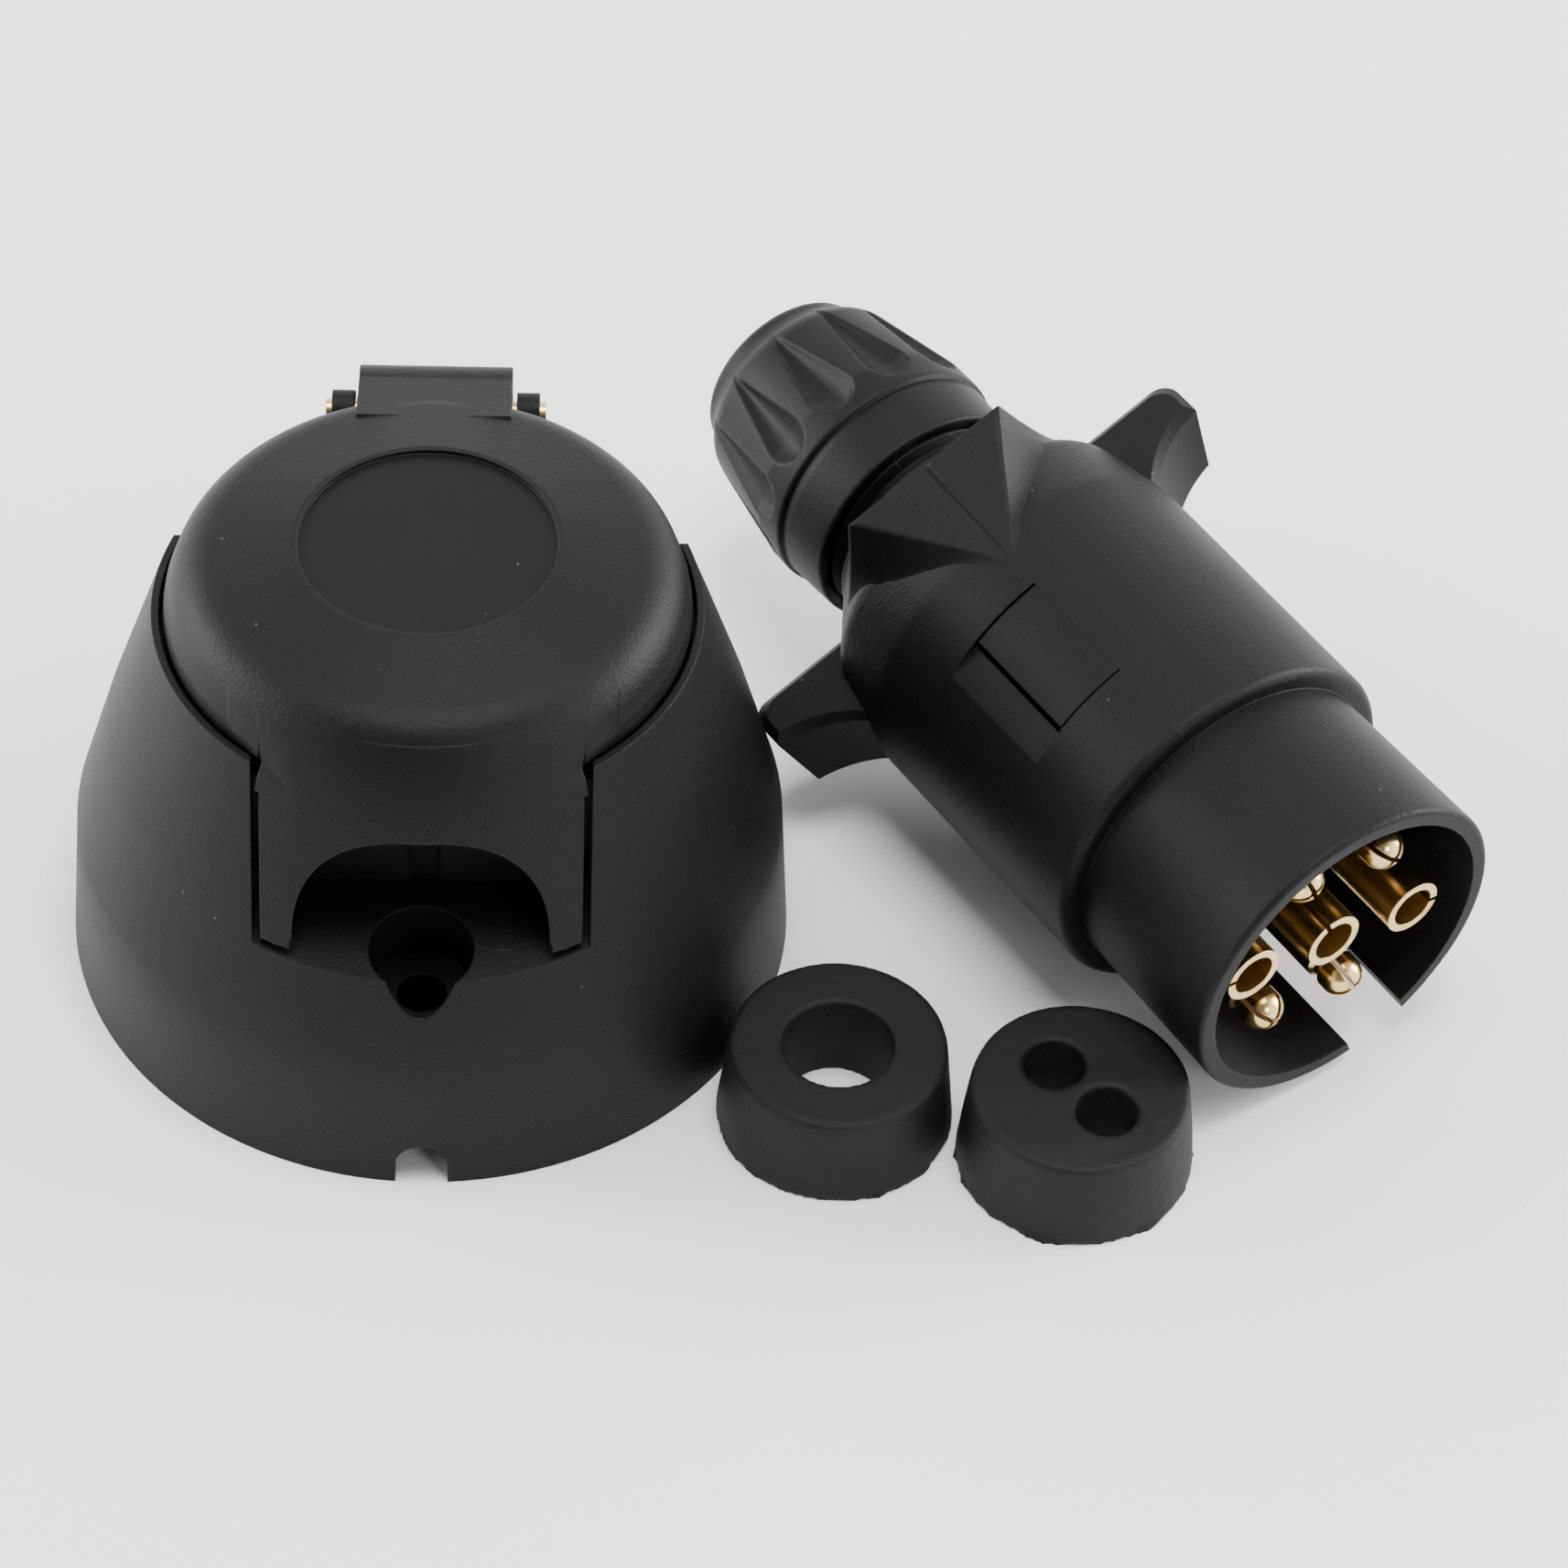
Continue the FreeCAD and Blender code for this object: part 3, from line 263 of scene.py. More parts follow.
def nylon(name, grain=0.00042, depth=0.5, rough=0.47, wear=0.35, marks=1.0, smooth_disc=None, swept=False):
    """Grained black nylon. smooth_disc gives the radius and lowest height of a polished disc."""
    material, tree, place = begin(name)
    sand = cloud(tree, place, grain, detail=3.0, roughness=0.65)
    flow = cloud(tree, place, 0.014, detail=3.0)
    rounded, edge = worn_edge(tree, 0.00028)
    if swept:
        rounded = swept_normal(tree, place, rounded)
    dust = specks(tree, place, 0.0036, 0.00017, 0.28)
    scratch = hairlines(tree, place, 0.6, 0.40) + hairlines(tree, place, 2.1, 0.36)
    lift = flow * 0.10 + sand * 0.05
    marking = (dust * 0.9 + scratch * 0.30) * marks + edge * wear * 0.25
    tint = mix_colour(tree, lift, BLACK, BLACK_WORN)
    colour = mix_colour(tree, marking.math("MINIMUM", 1.0), tint, SCUFF)
    roughness = rough - 0.05 + flow * 0.10 + sand * 0.06 - edge * 0.06
    grain_depth = depth
    if smooth_disc:
        radius, low = smooth_disc
        spot = tree.add("ShaderNodeSeparateXYZ", inputs={"Vector": place})
        across = Signal(tree, spot.socket.node.outputs["X"])
        along = Signal(tree, spot.socket.node.outputs["Y"])
        height = Signal(tree, spot.socket.node.outputs["Z"])
        away = (across * across + along * along).math("SQRT")
        disc = (1 - away.smooth(radius - 0.0001, radius)) * height.smooth(low, low + 0.0001)
        brushed = tree.add("ShaderNodeMapping", inputs={"Vector": place, "Scale": (10.0, 1.0, 1.0)})
        streak = cloud(tree, brushed, 0.004, detail=4.0)
        roughness = roughness - disc * 0.07 + disc * streak * 0.05
        grain_depth = depth - disc * (depth * 0.85)
    pitted = (sand - 0.5) * grain_depth
    bump = tree.add("ShaderNodeBump", inputs={
        "Height": pitted, "Distance": 0.00016, "Strength": 1.0, "Normal": rounded})
    finish_material(tree, {"Base Color": colour, "Roughness": roughness, "Normal": bump,
                           "Specular IOR Level": 0.15})
    return material


lid_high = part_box("lid")[1]
finishes = {
    "housing": nylon("housing_black", swept=True),
    "lid": nylon("lid_black", rough=0.44, smooth_disc=(0.0142, lid_high.z - 0.0006)),
    "plug": nylon("plug_black", grain=0.00045, rough=0.46),
    "nut": nylon("nut_black", grain=0.00035, depth=0.35, rough=0.45, marks=0.6),
    "insert": nylon("insert_black", grain=0.0003, depth=0.15, rough=0.36, wear=0.2, marks=0.4),
}
print("nylon finishes:", sorted(finishes))

# %% [markdown]
# ## Rubber
# The cable seals are pressed rubber: duller than nylon, never quite smooth, with pale talc in the
# pits and a soft, low sheen. The bump has two sizes, a fine orange peel and rare deeper pits.

# %% Rubber
def rubber(name, rough=0.62):
    """Dull black rubber with pits and traces of talc."""
    material, tree, place = begin(name)
    peel = cloud(tree, place, 0.0007, detail=4.0, roughness=0.6)
    broad = cloud(tree, place, 0.006, detail=3.0)
    pits = specks(tree, place, 0.0021, 0.00022, 0.30)
    dust = specks(tree, place, 0.0027, 0.00014, 0.30)
    scuffs = hairlines(tree, place, 1.2, 0.42)
    rounded, edge = worn_edge(tree, 0.0003)
    tint = mix_colour(tree, broad * 0.5, (0.0032, 0.0032, 0.0032, 1.0), (0.008, 0.008, 0.0083, 1.0))
    pale = (dust * 0.8 + scuffs * 0.25 + edge * 0.05 + pits * 0.04).math("MINIMUM", 1.0)
    colour = mix_colour(tree, pale, tint, SCUFF)
    height = (peel - 0.5) * 0.6 - pits * 1.4
    bump = tree.add("ShaderNodeBump", inputs={
        "Height": height, "Distance": 0.00006, "Strength": 1.0, "Normal": rounded})
    finish_material(tree, {"Base Color": colour, "Roughness": rough - 0.06 + broad * 0.14, "Normal": bump,
                           "Specular IOR Level": 0.22})
    return material


finishes["seal"] = rubber("seal_rubber")
finishes["gasket"] = rubber("gasket_rubber", rough=0.55)
print("rubber finishes ready")

# %% [markdown]
# ## Brass and steel
# The contacts are turned on a lathe, so their tool marks run round the axis. Bands along the axis
# come from one long, flat noise: its coordinate is the distance along the axis, which a Vector
# Math dot product gives for any direction. The marks vary the roughness and a very shallow bump.

# %% Metals
def along_axis(tree, place, axis):
    """Distance of a point along an axis."""
    return tree.add("ShaderNodeVectorMath", {"operation": "DOT_PRODUCT"}, {0: place, 1: axis},
                    output="Value")


def turned_metal(name, axis, bright, dull, rough, band=0.00012):
    """Lathe-turned metal with rings of tool marks square to its axis."""
    material, tree, place = begin(name)
    spot = tree.add("ShaderNodeCombineXYZ", inputs={"X": along_axis(tree, place, axis)})
    rings = cloud(tree, spot, band, detail=2.0)
    stain = cloud(tree, place, 0.0025, detail=4.0, roughness=0.6)
    colour = mix_colour(tree, stain.smooth(0.45, 0.75) * 0.7, bright, dull)
    rounded, edge = worn_edge(tree, 0.0001)
    bump = tree.add("ShaderNodeBump", inputs={
        "Height": rings, "Distance": 0.000006, "Strength": 1.0, "Normal": rounded})
    roughness = rough + stain * 0.10 + rings * 0.08 - edge * 0.04
    finish_material(tree, {"Base Color": colour, "Metallic": 1.0, "Roughness": roughness, "Normal": bump})
    return material


plug_axis = Vector(mounts["plug_mouth"]["axis"])
UPRIGHT = Vector((0, 0, 1))
BRASS = (0.86, 0.62, 0.27, 1.0)
BRASS_DULL = (0.62, 0.40, 0.15, 1.0)
ZINC = (0.62, 0.62, 0.60, 1.0)
ZINC_DULL = (0.42, 0.42, 0.41, 1.0)
finishes["plug_brass"] = turned_metal("plug_brass", plug_axis, BRASS, BRASS_DULL, 0.14)
finishes["socket_brass"] = turned_metal("socket_brass", UPRIGHT, BRASS, BRASS_DULL, 0.16)
finishes["pin_brass"] = turned_metal("pin_brass", Vector((1, 0, 0)), BRASS, BRASS_DULL, 0.20)
finishes["zinc"] = turned_metal("zinc_screw", UPRIGHT, ZINC, ZINC_DULL, 0.26)
finishes["wire"] = turned_metal("spring_wire", Vector((1, 0, 0)), ZINC, ZINC_DULL, 0.30, band=0.0004)
print("finishes:", sorted(finishes))

# %% [markdown]
# ## Dress the pieces that keep their engineering shape
# A piece whose shape is already right only needs its material. Names tell which finish it takes.

# %% Assign finishes
FINISH_OF = {
    "socket_housing": "housing", "socket_receptacle": "insert", "socket_insert": "insert",
    "socket_terminal_screws": "zinc", "insert_screws": "zinc", "hinge_pin": "pin_brass",
    "lid_spring": "wire", "lid": "lid", "lid_gasket": "gasket", "plug_shell_left": "plug",
    "plug_shell_right": "plug",
    "plug_insert": "insert", "plug_terminal_screws": "zinc", "gland_nut": "nut",
    "gland_washer": "insert", "cable_seal_single": "seal", "cable_seal_twin": "seal",
}


def finish_for(name):
    """The finish of a node, where numbered contacts share the brass of their half."""
    if name in FINISH_OF:
        return finishes[FINISH_OF[name]]
    return finishes["plug_brass" if name.startswith("plug") else "socket_brass"]


for name, piece in nodes.items():
    piece.data.materials.clear()
    piece.data.materials.append(finish_for(name))
print("dressed", len(nodes), "pieces")

# %% [markdown]
# ## The plug's own axes
# The plug lies askew on the floor, but it is far easier to model along its own axes: X across, Y
# towards the latch lug, Z out of its mouth. The mouth's place and direction come from the record,
# and the roll about that direction is the one angle that has to be named. `PLUG` then
# carries finished vertices from these axes to where the plug lies.

# %% Plug axes
PLUG_ROLL = math.radians(22.3)


def plug_frame(mouth, ahead, roll):
    """The matrix from the plug's own axes to the place where it lies."""
    level = Vector((-ahead.y, ahead.x, 0)).normalized()
    upright = ahead.cross(level)
    across = level * math.cos(roll) + upright * math.sin(roll)
    to_lug = upright * math.cos(roll) - level * math.sin(roll)
    turned = Matrix((across, to_lug, ahead)).transposed().to_4x4()
    return Matrix.Translation(mouth) @ turned


PLUG = plug_frame(Vector(mounts["plug_mouth"]["pos_m"]), plug_axis, PLUG_ROLL)
print("plug mouth at", [round(value, 4) for value in PLUG.translation])

# %% Mesh helpers
def add_piece(name, mesh, body, material, replaced=()):
    """Link a finished mesh as a piece that rides on a body."""
    mesh.materials.clear()
    mesh.materials.append(material)
    piece = bpy.data.objects.new(name, mesh)
    bpy.context.scene.collection.objects.link(piece)
    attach(piece, body)
    if replaced:
        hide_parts(*replaced)
    return piece


def closed_mesh(name, build, place=Matrix.Identity(4), merge=1e-6):
    """Run a function on a new bmesh, merge doubles, point faces out and place the result."""
    shape = bmesh.new()
    build(shape)
    bmesh.ops.remove_doubles(shape, verts=shape.verts, dist=merge)
    bmesh.ops.recalc_face_normals(shape, faces=shape.faces)
    bmesh.ops.transform(shape, matrix=place, verts=shape.verts)
    for face in shape.faces:
        face.smooth = True
    mesh = bpy.data.meshes.new(name)
    shape.to_mesh(mesh)
    shape.free()
    return mesh


def skin(shape, rows, closed=False):
    """Join rows of points with quads. A closed skin also joins each row's end to its start."""
    made = [[shape.verts.new(point) for point in row] for row in rows]
    for low, high in zip(made, made[1:]):
        count = len(low)
        for index in range(count if closed else count - 1):
            after = (index + 1) % count
            shape.faces.new((low[index], low[after], high[after], high[index]))
    return made


def plain_copy(piece, name):
    """A piece's evaluated shape as a plain mesh."""
    bpy.context.view_layer.update()
    ready = piece.evaluated_get(bpy.context.evaluated_depsgraph_get())
    mesh = bpy.data.meshes.new_from_object(ready)
    mesh.name = name
    return mesh


print("mesh helpers ready")

# %% [markdown]
# ## The latch lug
# The lid's hook catches this lug when the plug is in the socket. Its top is a flat delta that
# grows out of the round grip, and its flanks sweep down in one hollow curve, which plain solids
# can't give. Each half is a grid of sections: the flat top, then a flank that falls as a power of
# its distance, so it leaves the top steeply and meets the grip without a crease.

# %% Lug
LUG_FRONT, LUG_BACK = 53.6, 69.66
LUG_HALF, LUG_TOP, GRIP_RADIUS = 11.1, 24.06, 22.3
LUG_FLARE = 4.2
LUG_SINK, LUG_FLOOR = 0.4, 13
TOP_COLUMNS, FLANK_COLUMNS, LUG_ROWS = 12, 22, 48
SEAM_GAP = 0.03


def grip_profile(back):
    """The grip's radius at a distance back from the mouth, where it domes towards the neck."""
    knots = ((0, 22.3), (52.5, 22.3), (56.0, 22.16), (59.0, 21.92), (62.5, 21.56), (65.5, 21.05),
             (67.2, 20.35), (69.0, 19.15), (73.0, 16.25), (76.2, 13.8))
    for (low, start), (high, end) in zip(knots, knots[1:]):
        if low <= back <= high:
            return start + (end - start) * (back - low) / (high - low)
    return knots[-1][1]


def grip_height(x, back):
    """Height of the grip's surface over its middle plane, at a distance x to the side."""
    return math.sqrt(max(grip_profile(back) ** 2 - x ** 2, 0.0))


def lug_section(back, side):
    """Points across one half of the lug, from the seam to where its flank meets the grip."""
    share = (back - LUG_FRONT) / (LUG_BACK - LUG_FRONT)
    half = 0.3 + (LUG_HALF - 0.3) * share
    top = GRIP_RADIUS - 0.05 + (LUG_TOP - GRIP_RADIUS + 0.05) * share
    flare = 2.0 + LUG_FLARE * share ** 0.7
    points = []
    for column in range(TOP_COLUMNS):
        points.append((SEAM_GAP + (half - SEAM_GAP) * column / TOP_COLUMNS, top))
    for column in range(FLANK_COLUMNS + 1):
        fall = (column / FLANK_COLUMNS) ** 1.6
        x = half + flare * fall
        foot = grip_height(x, back) - 0.12 * fall
        points.append((x, foot + max(top - foot, 0.0) * (1 - fall) ** 2.4))
    ease = max(0.0, (back - LUG_BACK + 0.5) / 0.5) ** 2 * 0.35
    return [Vector((side * x, y - ease, -back)) * MM for x, y in points]


def build_lug(side):
    """One half of the lug as a closed shell: its skin, its rear wall and a sunken underside."""
    def build(shape):
        rows = [lug_section(LUG_FRONT + (LUG_BACK - LUG_FRONT) * row / LUG_ROWS, side)
                for row in range(LUG_ROWS + 1)]
        sunk = [[Vector((point.x, min(point.y - LUG_SINK * MM, LUG_FLOOR * MM), point.z))
                 for point in row] for row in rows]
        skin(shape, rows)
        skin(shape, sunk)
        for edge in (0, -1):
            skin(shape, [rows[edge], sunk[edge]])
            skin(shape, [[row[edge] for row in rows], [row[edge] for row in sunk]])
    return build


for name, side in (("lug_right", 1), ("lug_left", -1)):
    mesh = closed_mesh(name, build_lug(side), PLUG)
    add_piece(name, mesh, "plug", finishes["plug"])
    print(name, len(mesh.polygons), "faces")

# %% [markdown]
# ## The lid's apron
# On the real lid the dome runs down into its front tab in one S-shaped sweep, and the tab ends in
# two round prongs with a flattened arch between them. This apron is that outer skin. A Bezier
# curve gives the sweep's radius at each height, the sides fade back into the dome, and a
# superellipse draws the arch. Each column of the grid is one line down the lid, ending on the arch
# or on a prong.

# %% Apron profile
DOME_CENTRE, DOME_ROUND = (21.96, 51.08), 6.5
SWEEP = ((26.94, 55.26), (28.61, 53.27), (30.22, 49.33), (31.34, 46.0))
TAB_HALF, PRONG_HALF, PRONG_TIP, ARCH_CROWN = 17.42, 1.76, 30.2, 45.15
APRON_TOP, APRON_FOOT = 55.26, 49.65
TAB_SLOPE = 0.3239
BROW_FOOT, SIDE_START, SIDE_SLOPE, SIDE_WIDEST = 53.09, 28.14, 0.325, 28.95
FADE_ACROSS, FADE_UP = (13.5, 20.8), (45.5, 49.8)


def sweep_table(steps=60):
    """Points (height, radius) down the Bezier curve from the dome to the tab."""
    table = []
    for step in range(steps + 1):
        t = step / steps
        weights = ((1 - t) ** 3, 3 * t * (1 - t) ** 2, 3 * t * t * (1 - t), t ** 3)
        height = sum(weight * point[1] for weight, point in zip(weights, SWEEP))
        radius = sum(weight * point[0] for weight, point in zip(weights, SWEEP))
        table.append((height, radius))
    return table


SWEEP_TABLE = sweep_table()


def sweep_radius(height):
    """The apron's full radius at a height: the sweep, then the tab's straight cone."""
    if height <= SWEEP_TABLE[-1][0]:
        return SWEEP[-1][0] + TAB_SLOPE * (SWEEP_TABLE[-1][0] - height)
    for (high, start), (low, end) in zip(SWEEP_TABLE, SWEEP_TABLE[1:]):
        if low <= height <= high:
            return end + (start - end) * (height - low) / (high - low)
    return SWEEP_TABLE[0][1]


def dome_radius(height):
    """The plain dome's radius at a height, down its rounded brow and steep side."""
    if height > BROW_FOOT:
        return DOME_CENTRE[0] + math.sqrt(max(DOME_ROUND ** 2 - (height - DOME_CENTRE[1]) ** 2, 0.0))
    return min(SIDE_START + (BROW_FOOT - height) * SIDE_SLOPE, SIDE_WIDEST)


def eased(value, low, high):
    """0 below low, 1 above high, and a smooth step between."""
    share = min(max((value - low) / (high - low), 0.0), 1.0)
    return share * share * (3 - 2 * share)


def apron_radius(x, height):
    """The apron's outer radius: the sweep in the middle, fading to the dome at high sides."""
    keep = 1 - eased(abs(x), *FADE_ACROSS) * eased(height, *FADE_UP)
    lift = 0.05 * (1 - eased(height, 54.3, APRON_TOP)) * (1 - eased(abs(x), 19.5, 21.0))
    return dome_radius(height) + lift + (sweep_radius(height) - dome_radius(height)) * keep


# %% Apron mesh
def apron_columns():
    """Pairs of (x, lowest height) from the left edge to the right one."""
    right = []
    arch = TAB_HALF - 2 * PRONG_HALF
    spring = PRONG_TIP + PRONG_HALF
    for step in range(41):
        share = math.sin(math.pi / 2 * step / 40)
        drop = math.sqrt(max(1 - share ** 2.5, 0.0))
        right.append((arch * share, spring + (ARCH_CROWN - PRONG_TIP - PRONG_HALF) * drop))
    for step in range(1, 15):
        turn = math.pi * step / 14
        right.append((arch + PRONG_HALF * (1 - math.cos(turn)),
                      PRONG_TIP + PRONG_HALF * (1 - math.sin(turn))))
    right += [(TAB_HALF + 0.002 + 3.6 * step / 8, APRON_FOOT) for step in range(9)]
    return [(-x, low) for x, low in reversed(right[1:])] + right


def apron_line(x, low, inset, rows=44):
    """One column of points from the dome down to its lowest height."""
    points = []
    for row in range(rows + 1):
        height = APRON_TOP + (low - APRON_TOP) * row / rows
        wall = 0.9 + 1.35 * eased(-height, -50.5, -47.0)
        radius = apron_radius(x, height) - inset * wall
        points.append(Vector((x, -math.sqrt(radius ** 2 - x ** 2), height)) * MM)
    return points


def build_apron(shape):
    """The apron as one closed shell."""
    columns = apron_columns()
    outer = [apron_line(x, low, 0) for x, low in columns]
    inner = [apron_line(x, low, 1) for x, low in columns]
    skin(shape, outer)
    skin(shape, inner)
    for edge in (0, -1):
        skin(shape, [outer[edge], inner[edge]])
        skin(shape, [[line[edge] for line in outer], [line[edge] for line in inner]])


apron = closed_mesh("lid_apron", build_apron)
apron.set_sharp_from_angle(angle=math.radians(50))
add_piece("lid_apron", apron, "lid", finishes["lid"])
print("lid_apron", len(apron.polygons), "faces")

# %% [markdown]
# ## The gland nut
# Twelve teardrop hollows give fingers a grip. A lathe turns the plain cap from a few (distance,
# radius) points, and a Geometry Nodes tree presses the hollows in: it unrolls each point to an
# angle and a distance, finds its place in one sector, and lowers it by a formula. The
# outline of a hollow is a quarter circle up to its widest place and a straight taper after it.

# %% Lathe for the nut
NUT_COLUMNS = 360


def arc_points(centre, radius, start, end, steps):
    """Points on an arc of a profile, with angles in degrees from the radial direction."""
    angles = [math.radians(start + (end - start) * step / steps) for step in range(steps + 1)]
    return [(centre[0] + radius * math.sin(a), centre[1] + radius * math.cos(a)) for a in angles]


def even_points(start, end, steps):
    """Evenly spaced points from one profile point up to, but not at, the next."""
    return [(start[0] + (end[0] - start[0]) * step / steps,
             start[1] + (end[1] - start[1]) * step / steps) for step in range(steps)]


def nut_profile():
    """The cap's closed section as (distance back, radius) in mm, outside first."""
    outer = [(79.6, 13.4), (79.6, 14.5), (79.75, 14.66), (80.0, 14.72)]
    outer += even_points((80.3, 14.74), (86.6, 15.06), 6) + [(86.7, 15.06), (86.78, 15.0), (86.86, 15.02)]
    outer += [(86.95, 15.3), (87.15, 15.46), (87.5, 15.5)]
    outer += even_points((87.8, 15.5), (91.0, 15.46), 16) + even_points((91.0, 15.46), (102.9, 13.3), 46)
    outer += arc_points((102.0, 8.9), 4.5, 11, 50, 16) + [(106.9, 11.1)]
    outer += arc_points((106.9, 9.2), 1.9, 15, 90, 12)
    return outer + [(108.8, 8.6), (108.6, 8.3), (108.2, 8.2), (106.2, 8.2), (104.2, 11.4), (93.1, 13.3)]


def build_nut(shape):
    """Turn the closed section about Z, mouth end towards +Z."""
    profile = nut_profile()
    rows = []
    for column in range(NUT_COLUMNS):
        turn = 2 * math.pi * column / NUT_COLUMNS
        rows.append([Vector((radius * math.cos(turn), radius * math.sin(turn), -back)) * MM
                     for back, radius in profile])
    skin(shape, rows + rows[:1], closed=True)


# %% Teardrop hollows by Geometry Nodes
def number_input(group, name, value):
    """Add a named number to a group's inputs and return its identifier."""
    socket = group.interface.new_socket(name, in_out="INPUT", socket_type="NodeSocketFloat")
    socket.default_value = value
    return socket.identifier


def flute_tree(values):
    """A tree that presses teardrop hollows into a turned shape, and its inputs' identifiers."""
    group = bpy.data.node_groups.new("teardrop_flutes", "GeometryNodeTree")
    group.interface.new_socket("Geometry", in_out="INPUT", socket_type="NodeSocketGeometry")
    group.interface.new_socket("Geometry", in_out="OUTPUT", socket_type="NodeSocketGeometry")
    names = {name: number_input(group, name, value) for name, value in values.items()}
    tree = Tree(group)
    given = tree.add("NodeGroupInput")
    size = {name: Signal(tree, given.socket.node.outputs[name]) for name in values}
    spot = tree.add("GeometryNodeInputPosition")
    parts = tree.add("ShaderNodeSeparateXYZ", inputs={0: spot})
    x, y, z = (Signal(tree, parts.socket.node.outputs[index]) for index in range(3))
    radius = (x * x + y * y).math("SQRT")
    turns = y.math("ARCTAN2", x) / (2 * math.pi) * size["Flutes"] + 0.5
    sideways = (turns.math("FRACT") - 0.5) * radius * (2 * math.pi) / size["Flutes"]
    along = ((0 - z - size["Front"]) / (size["Rear"] - size["Front"])).math("MAXIMUM", 0.0)
    along = along.math("MINIMUM", 1.0)
    rounded = ((size["Widest"] - along).math("MAXIMUM", 0.0) / size["Widest"]).math("POWER", 2.0)
    pointed = 1 - (along - size["Widest"]).math("MAXIMUM", 0.0) / (1 - size["Widest"])
    drop = (1 - rounded).math("SQRT") * pointed
    reach = sideways / (drop * size["Half Width"] + 0.00002)
    bowl = (1 - reach * reach).math("MAXIMUM", 0.0).math("POWER", 0.9)
    outside = radius.math("GREATER_THAN", size["Outer From"])
    depth = bowl * drop.math("POWER", 0.7) * size["Depth"] * outside
    shrink = 1 - depth / (radius + 0.0001)
    moved = tree.add("ShaderNodeCombineXYZ", inputs={0: x * shrink, 1: y * shrink, 2: z})
    shaped = tree.add("GeometryNodeSetPosition", inputs={"Geometry": given, "Position": moved})
    real = tree.add("GeometryNodeRealizeInstances", inputs={0: shaped})
    dressed = tree.add("GeometryNodeSetMaterial", inputs={"Geometry": real, "Material": finishes["nut"]})
    tree.add("NodeGroupOutput", inputs={0: dressed})
    return group, names


FLUTES = {"Flutes": 12.0, "Front": 0.0886, "Rear": 0.1056, "Widest": 0.2, "Half Width": 0.0029,
          "Depth": 0.0015, "Outer From": 0.0118}
nut_start = bpy.data.objects.new("nut_start", closed_mesh("nut_start", build_nut))
bpy.context.scene.collection.objects.link(nut_start)
group, names = flute_tree({name: 0.0 for name in FLUTES})
pressed = nut_start.modifiers.new("flutes", "NODES")
pressed.node_group = group
for name, value in FLUTES.items():
    pressed[names[name]] = value
nut_mesh = plain_copy(nut_start, "nut")
bpy.data.objects.remove(nut_start)
nut_mesh.transform(PLUG)
add_piece("nut", nut_mesh, "nut", finishes["nut"], ["gland_nut"])
print("nut", len(nut_mesh.polygons), "faces")

# %% [markdown]
# ## The rubber seals
# Pressed rubber has soft edges and is never quite true. Each seal starts as a merged copy of its
# engineering shape, remeshed into even quads so that every part can move, then smoothed a little
# and pushed in and out by two sizes of noise. Near the floor a thin torn line of flash is left
# from the mould's parting plane.

# %% Seals
SEAL_VOXEL = 0.00036
BROAD_SWELL, FINE_SWELL = 0.00016, 0.00003
RIM_FROM, FLASH_FROM, FLASH_HEIGHT, FLASH_SHARE = 0.0105, 0.0126, 0.0007, 0.12


def remoulded(node, name, seed):
    """An even, soft-edged copy of a node, with small irregular swellings."""
    shape = bmesh.new()
    shape.from_mesh(nodes[node].data)
    bmesh.ops.remove_doubles(shape, verts=shape.verts, dist=1e-6)
    start_mesh = bpy.data.meshes.new(name)
    shape.to_mesh(start_mesh)
    shape.free()
    start = bpy.data.objects.new(name + "_start", start_mesh)
    bpy.context.scene.collection.objects.link(start)
    remesh = start.modifiers.new("even", "REMESH")
    remesh.mode = "VOXEL"
    remesh.voxel_size = SEAL_VOXEL
    smooth = start.modifiers.new("soften", "SMOOTH")
    smooth.factor = 0.5
    smooth.iterations = 3
    mesh = plain_copy(start, name)
    bpy.data.objects.remove(start)
    low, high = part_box(node)
    middle = (low + high) / 2
    for vertex in mesh.vertices:
        spot = vertex.co.copy()
        away = Vector((spot.x - middle.x, spot.y - middle.y, 0))
        broad = noise.noise(spot * 160 + Vector((seed, 0, 0)))
        fine = noise.noise(spot * 900 + Vector((0, seed, 0)))
        outward = away.normalized() if away.length > RIM_FROM else vertex.normal
        vertex.co = spot + outward * (broad * BROAD_SWELL + fine * FINE_SWELL)
        torn = noise.noise(Vector((math.cos(seed + math.atan2(away.y, away.x)) * 5, seed, 0)))
        if away.length > FLASH_FROM and spot.z < FLASH_HEIGHT and torn > FLASH_SHARE:
            fade = 1 - spot.z / FLASH_HEIGHT
            vertex.co += away.normalized() * (torn - FLASH_SHARE) * 0.0008 * fade
        vertex.co.z = max(vertex.co.z, low.z)
    for face in mesh.polygons:
        face.use_smooth = True
    return mesh


for node, name, body, seed in (("cable_seal_single", "seal_one_hole", "seal_single", 3.1),
                               ("cable_seal_twin", "seal_two_holes", "seal_twin", 7.7)):
    seal_mesh = remoulded(node, name, seed)
    add_piece(name, seal_mesh, body, finishes["seal"], [node])
    print(name, len(seal_mesh.polygons), "faces")

# %% [markdown]
# ## Floor and light
# Black plastic shows almost nothing but what it reflects. A wide pale floor and pale surroundings
# wrap the sides in light, a large soft panel overhead and behind draws the broad highlights on
# the dome and the plug, and the side towards the camera is left dim so that front faces stay deep.

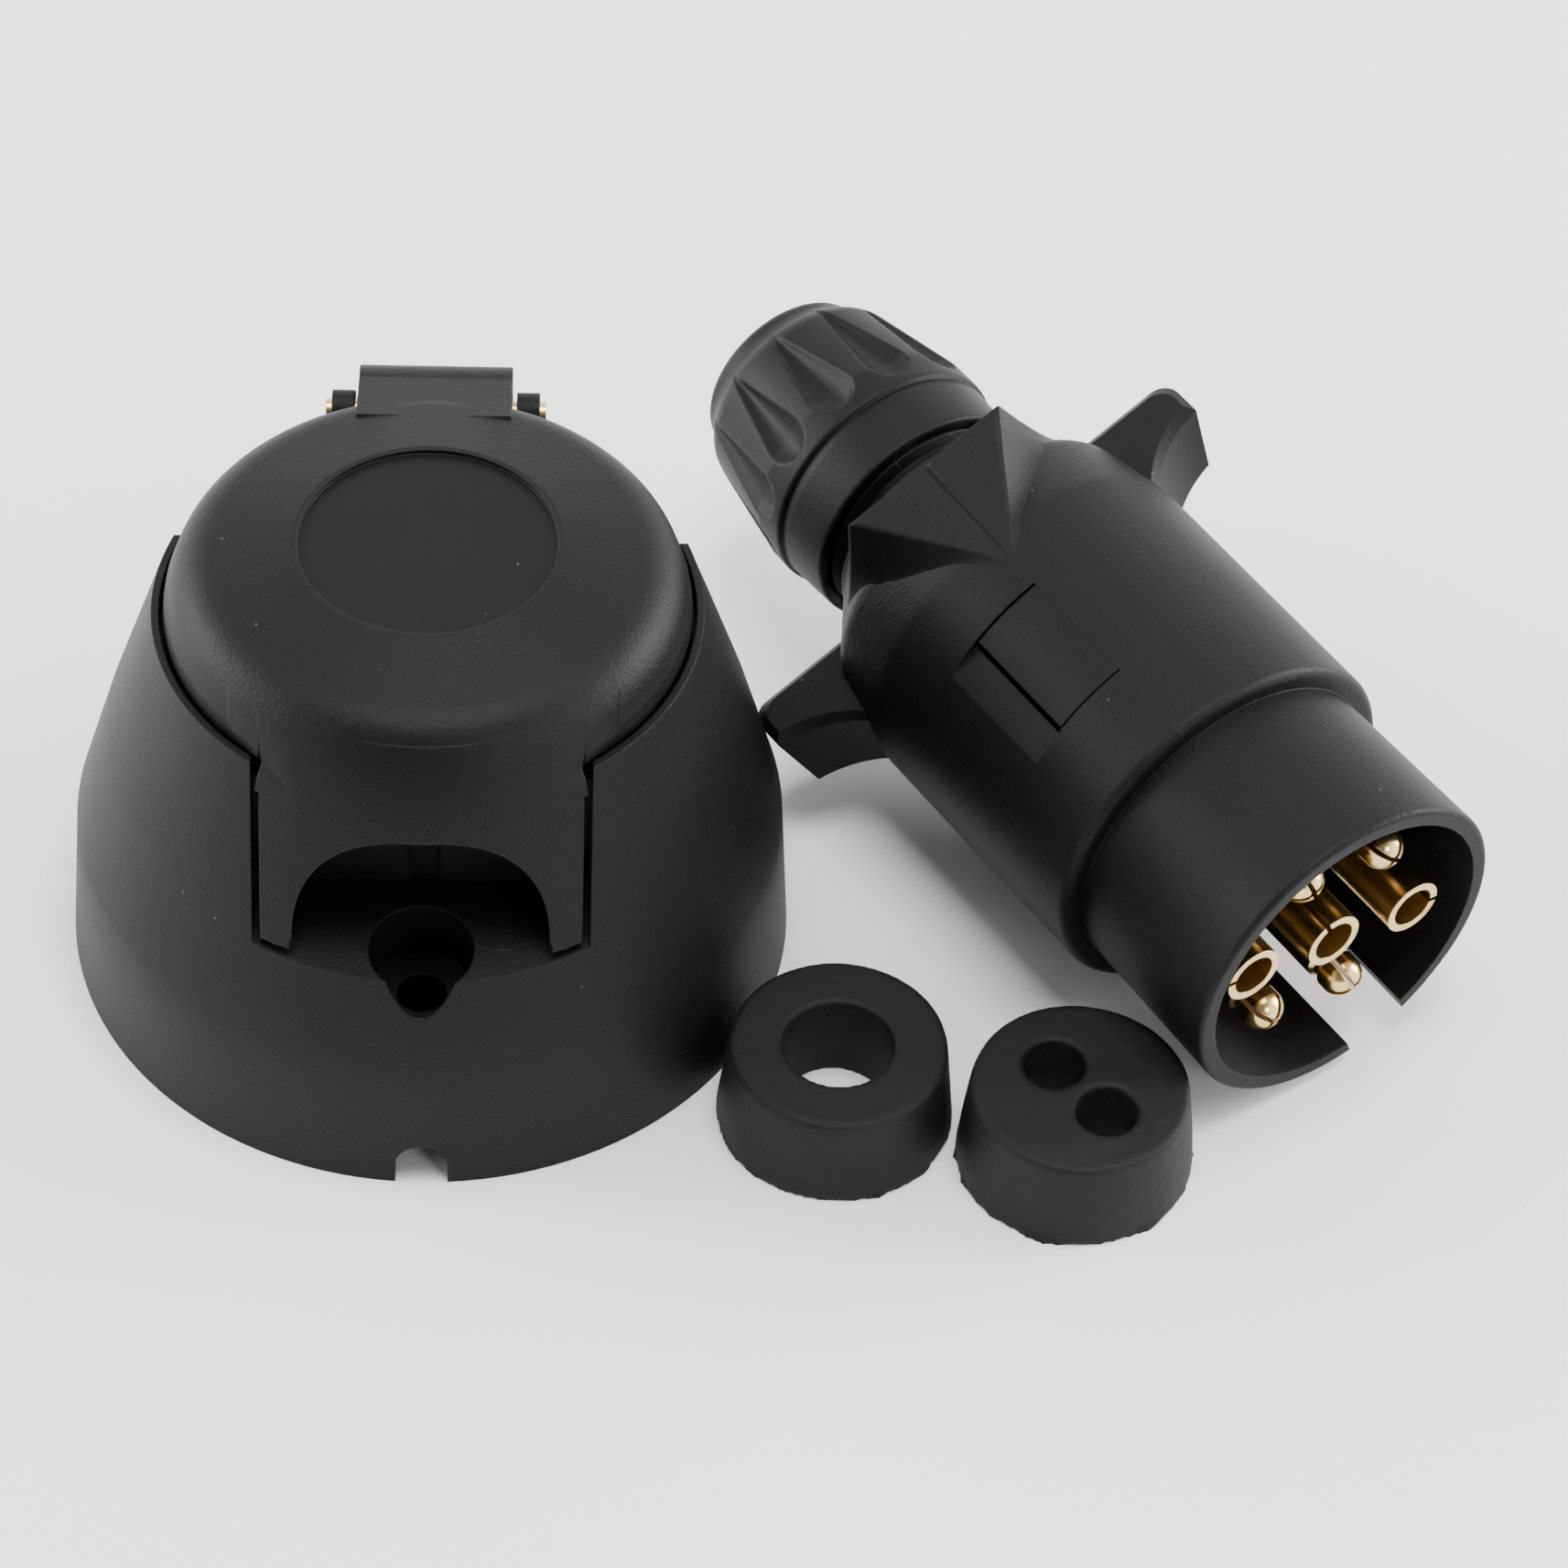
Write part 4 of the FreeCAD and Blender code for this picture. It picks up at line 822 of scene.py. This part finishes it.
# %% Stage
def make_floor(size):
    """A plain pale floor under everything."""
    mesh = bpy.data.meshes.new("floor")
    mesh.from_pydata([(-size, -size, 0), (size, -size, 0), (size, size, 0), (-size, size, 0)], [],
                     [(0, 1, 2, 3)])
    material, tree, place = begin("floor_white")
    tone = cloud(tree, place, 0.3)
    colour = mix_colour(tree, tone, (0.86, 0.86, 0.86, 1.0), (0.90, 0.90, 0.90, 1.0))
    finish_material(tree, {"Base Color": colour, "Roughness": 0.9, "Specular IOR Level": 0.1})
    mesh.materials.append(material)
    floor = bpy.data.objects.new("floor", mesh)
    bpy.context.scene.collection.objects.link(floor)


def add_panel(name, spot, aim, width, height, power):
    """A rectangular soft light at a spot, facing a point."""
    data = bpy.data.lights.new(name, "AREA")
    data.shape = "RECTANGLE"
    data.size = width
    data.size_y = height
    data.energy = power
    lamp = bpy.data.objects.new(name, data)
    lamp.location = spot
    lamp.rotation_euler = (Vector(aim) - Vector(spot)).to_track_quat("-Z", "Y").to_euler()
    bpy.context.scene.collection.objects.link(lamp)


def make_world(dim, bright):
    """Surroundings that are bright behind and to the sides, and dim above the camera."""
    world = bpy.data.worlds.new("studio")
    world.use_nodes = True
    tree = Tree(world.node_tree)
    way = tree.add("ShaderNodeTexCoord", output="Generated")
    parts = tree.add("ShaderNodeSeparateXYZ", inputs={"Vector": way})
    across, along = (Signal(tree, parts.socket.node.outputs[index]) for index in range(2))
    behind = along.smooth(-0.15, 0.75) * 0.4
    beside = across.math("ABSOLUTE").smooth(0.35, 0.95)
    glow = behind.math("MAXIMUM", beside) * (bright - dim) + dim
    back = tree.add("ShaderNodeBackground", inputs={"Color": (1.0, 1.0, 1.0, 1.0), "Strength": glow})
    tree.add("ShaderNodeOutputWorld", inputs={"Surface": back})
    bpy.context.scene.world = world


make_floor(6.0)
make_world(0.2, 2.5)
add_panel("back_panel", (0.05, 0.85, 0.35), (0.04, 0.0, 0.0), 1.2, 0.35, 3.0)
add_panel("overhead", (0.12, -0.1, 1.5), (0.04, 0.0, 0.0), 0.7, 0.7, 26.0)
add_panel("left_wall", (-0.8, 0.2, 0.3), (0.0, 0.0, 0.02), 0.6, 0.5, 11.0)
add_panel("right_wall", (0.9, 0.25, 0.3), (0.04, 0.0, 0.02), 0.6, 0.5, 14.0)
add_panel("front_right", (0.55, -0.75, 0.5), (0.0, 0.0, 0.03), 0.25, 0.25, 2.6)
print("stage ready")
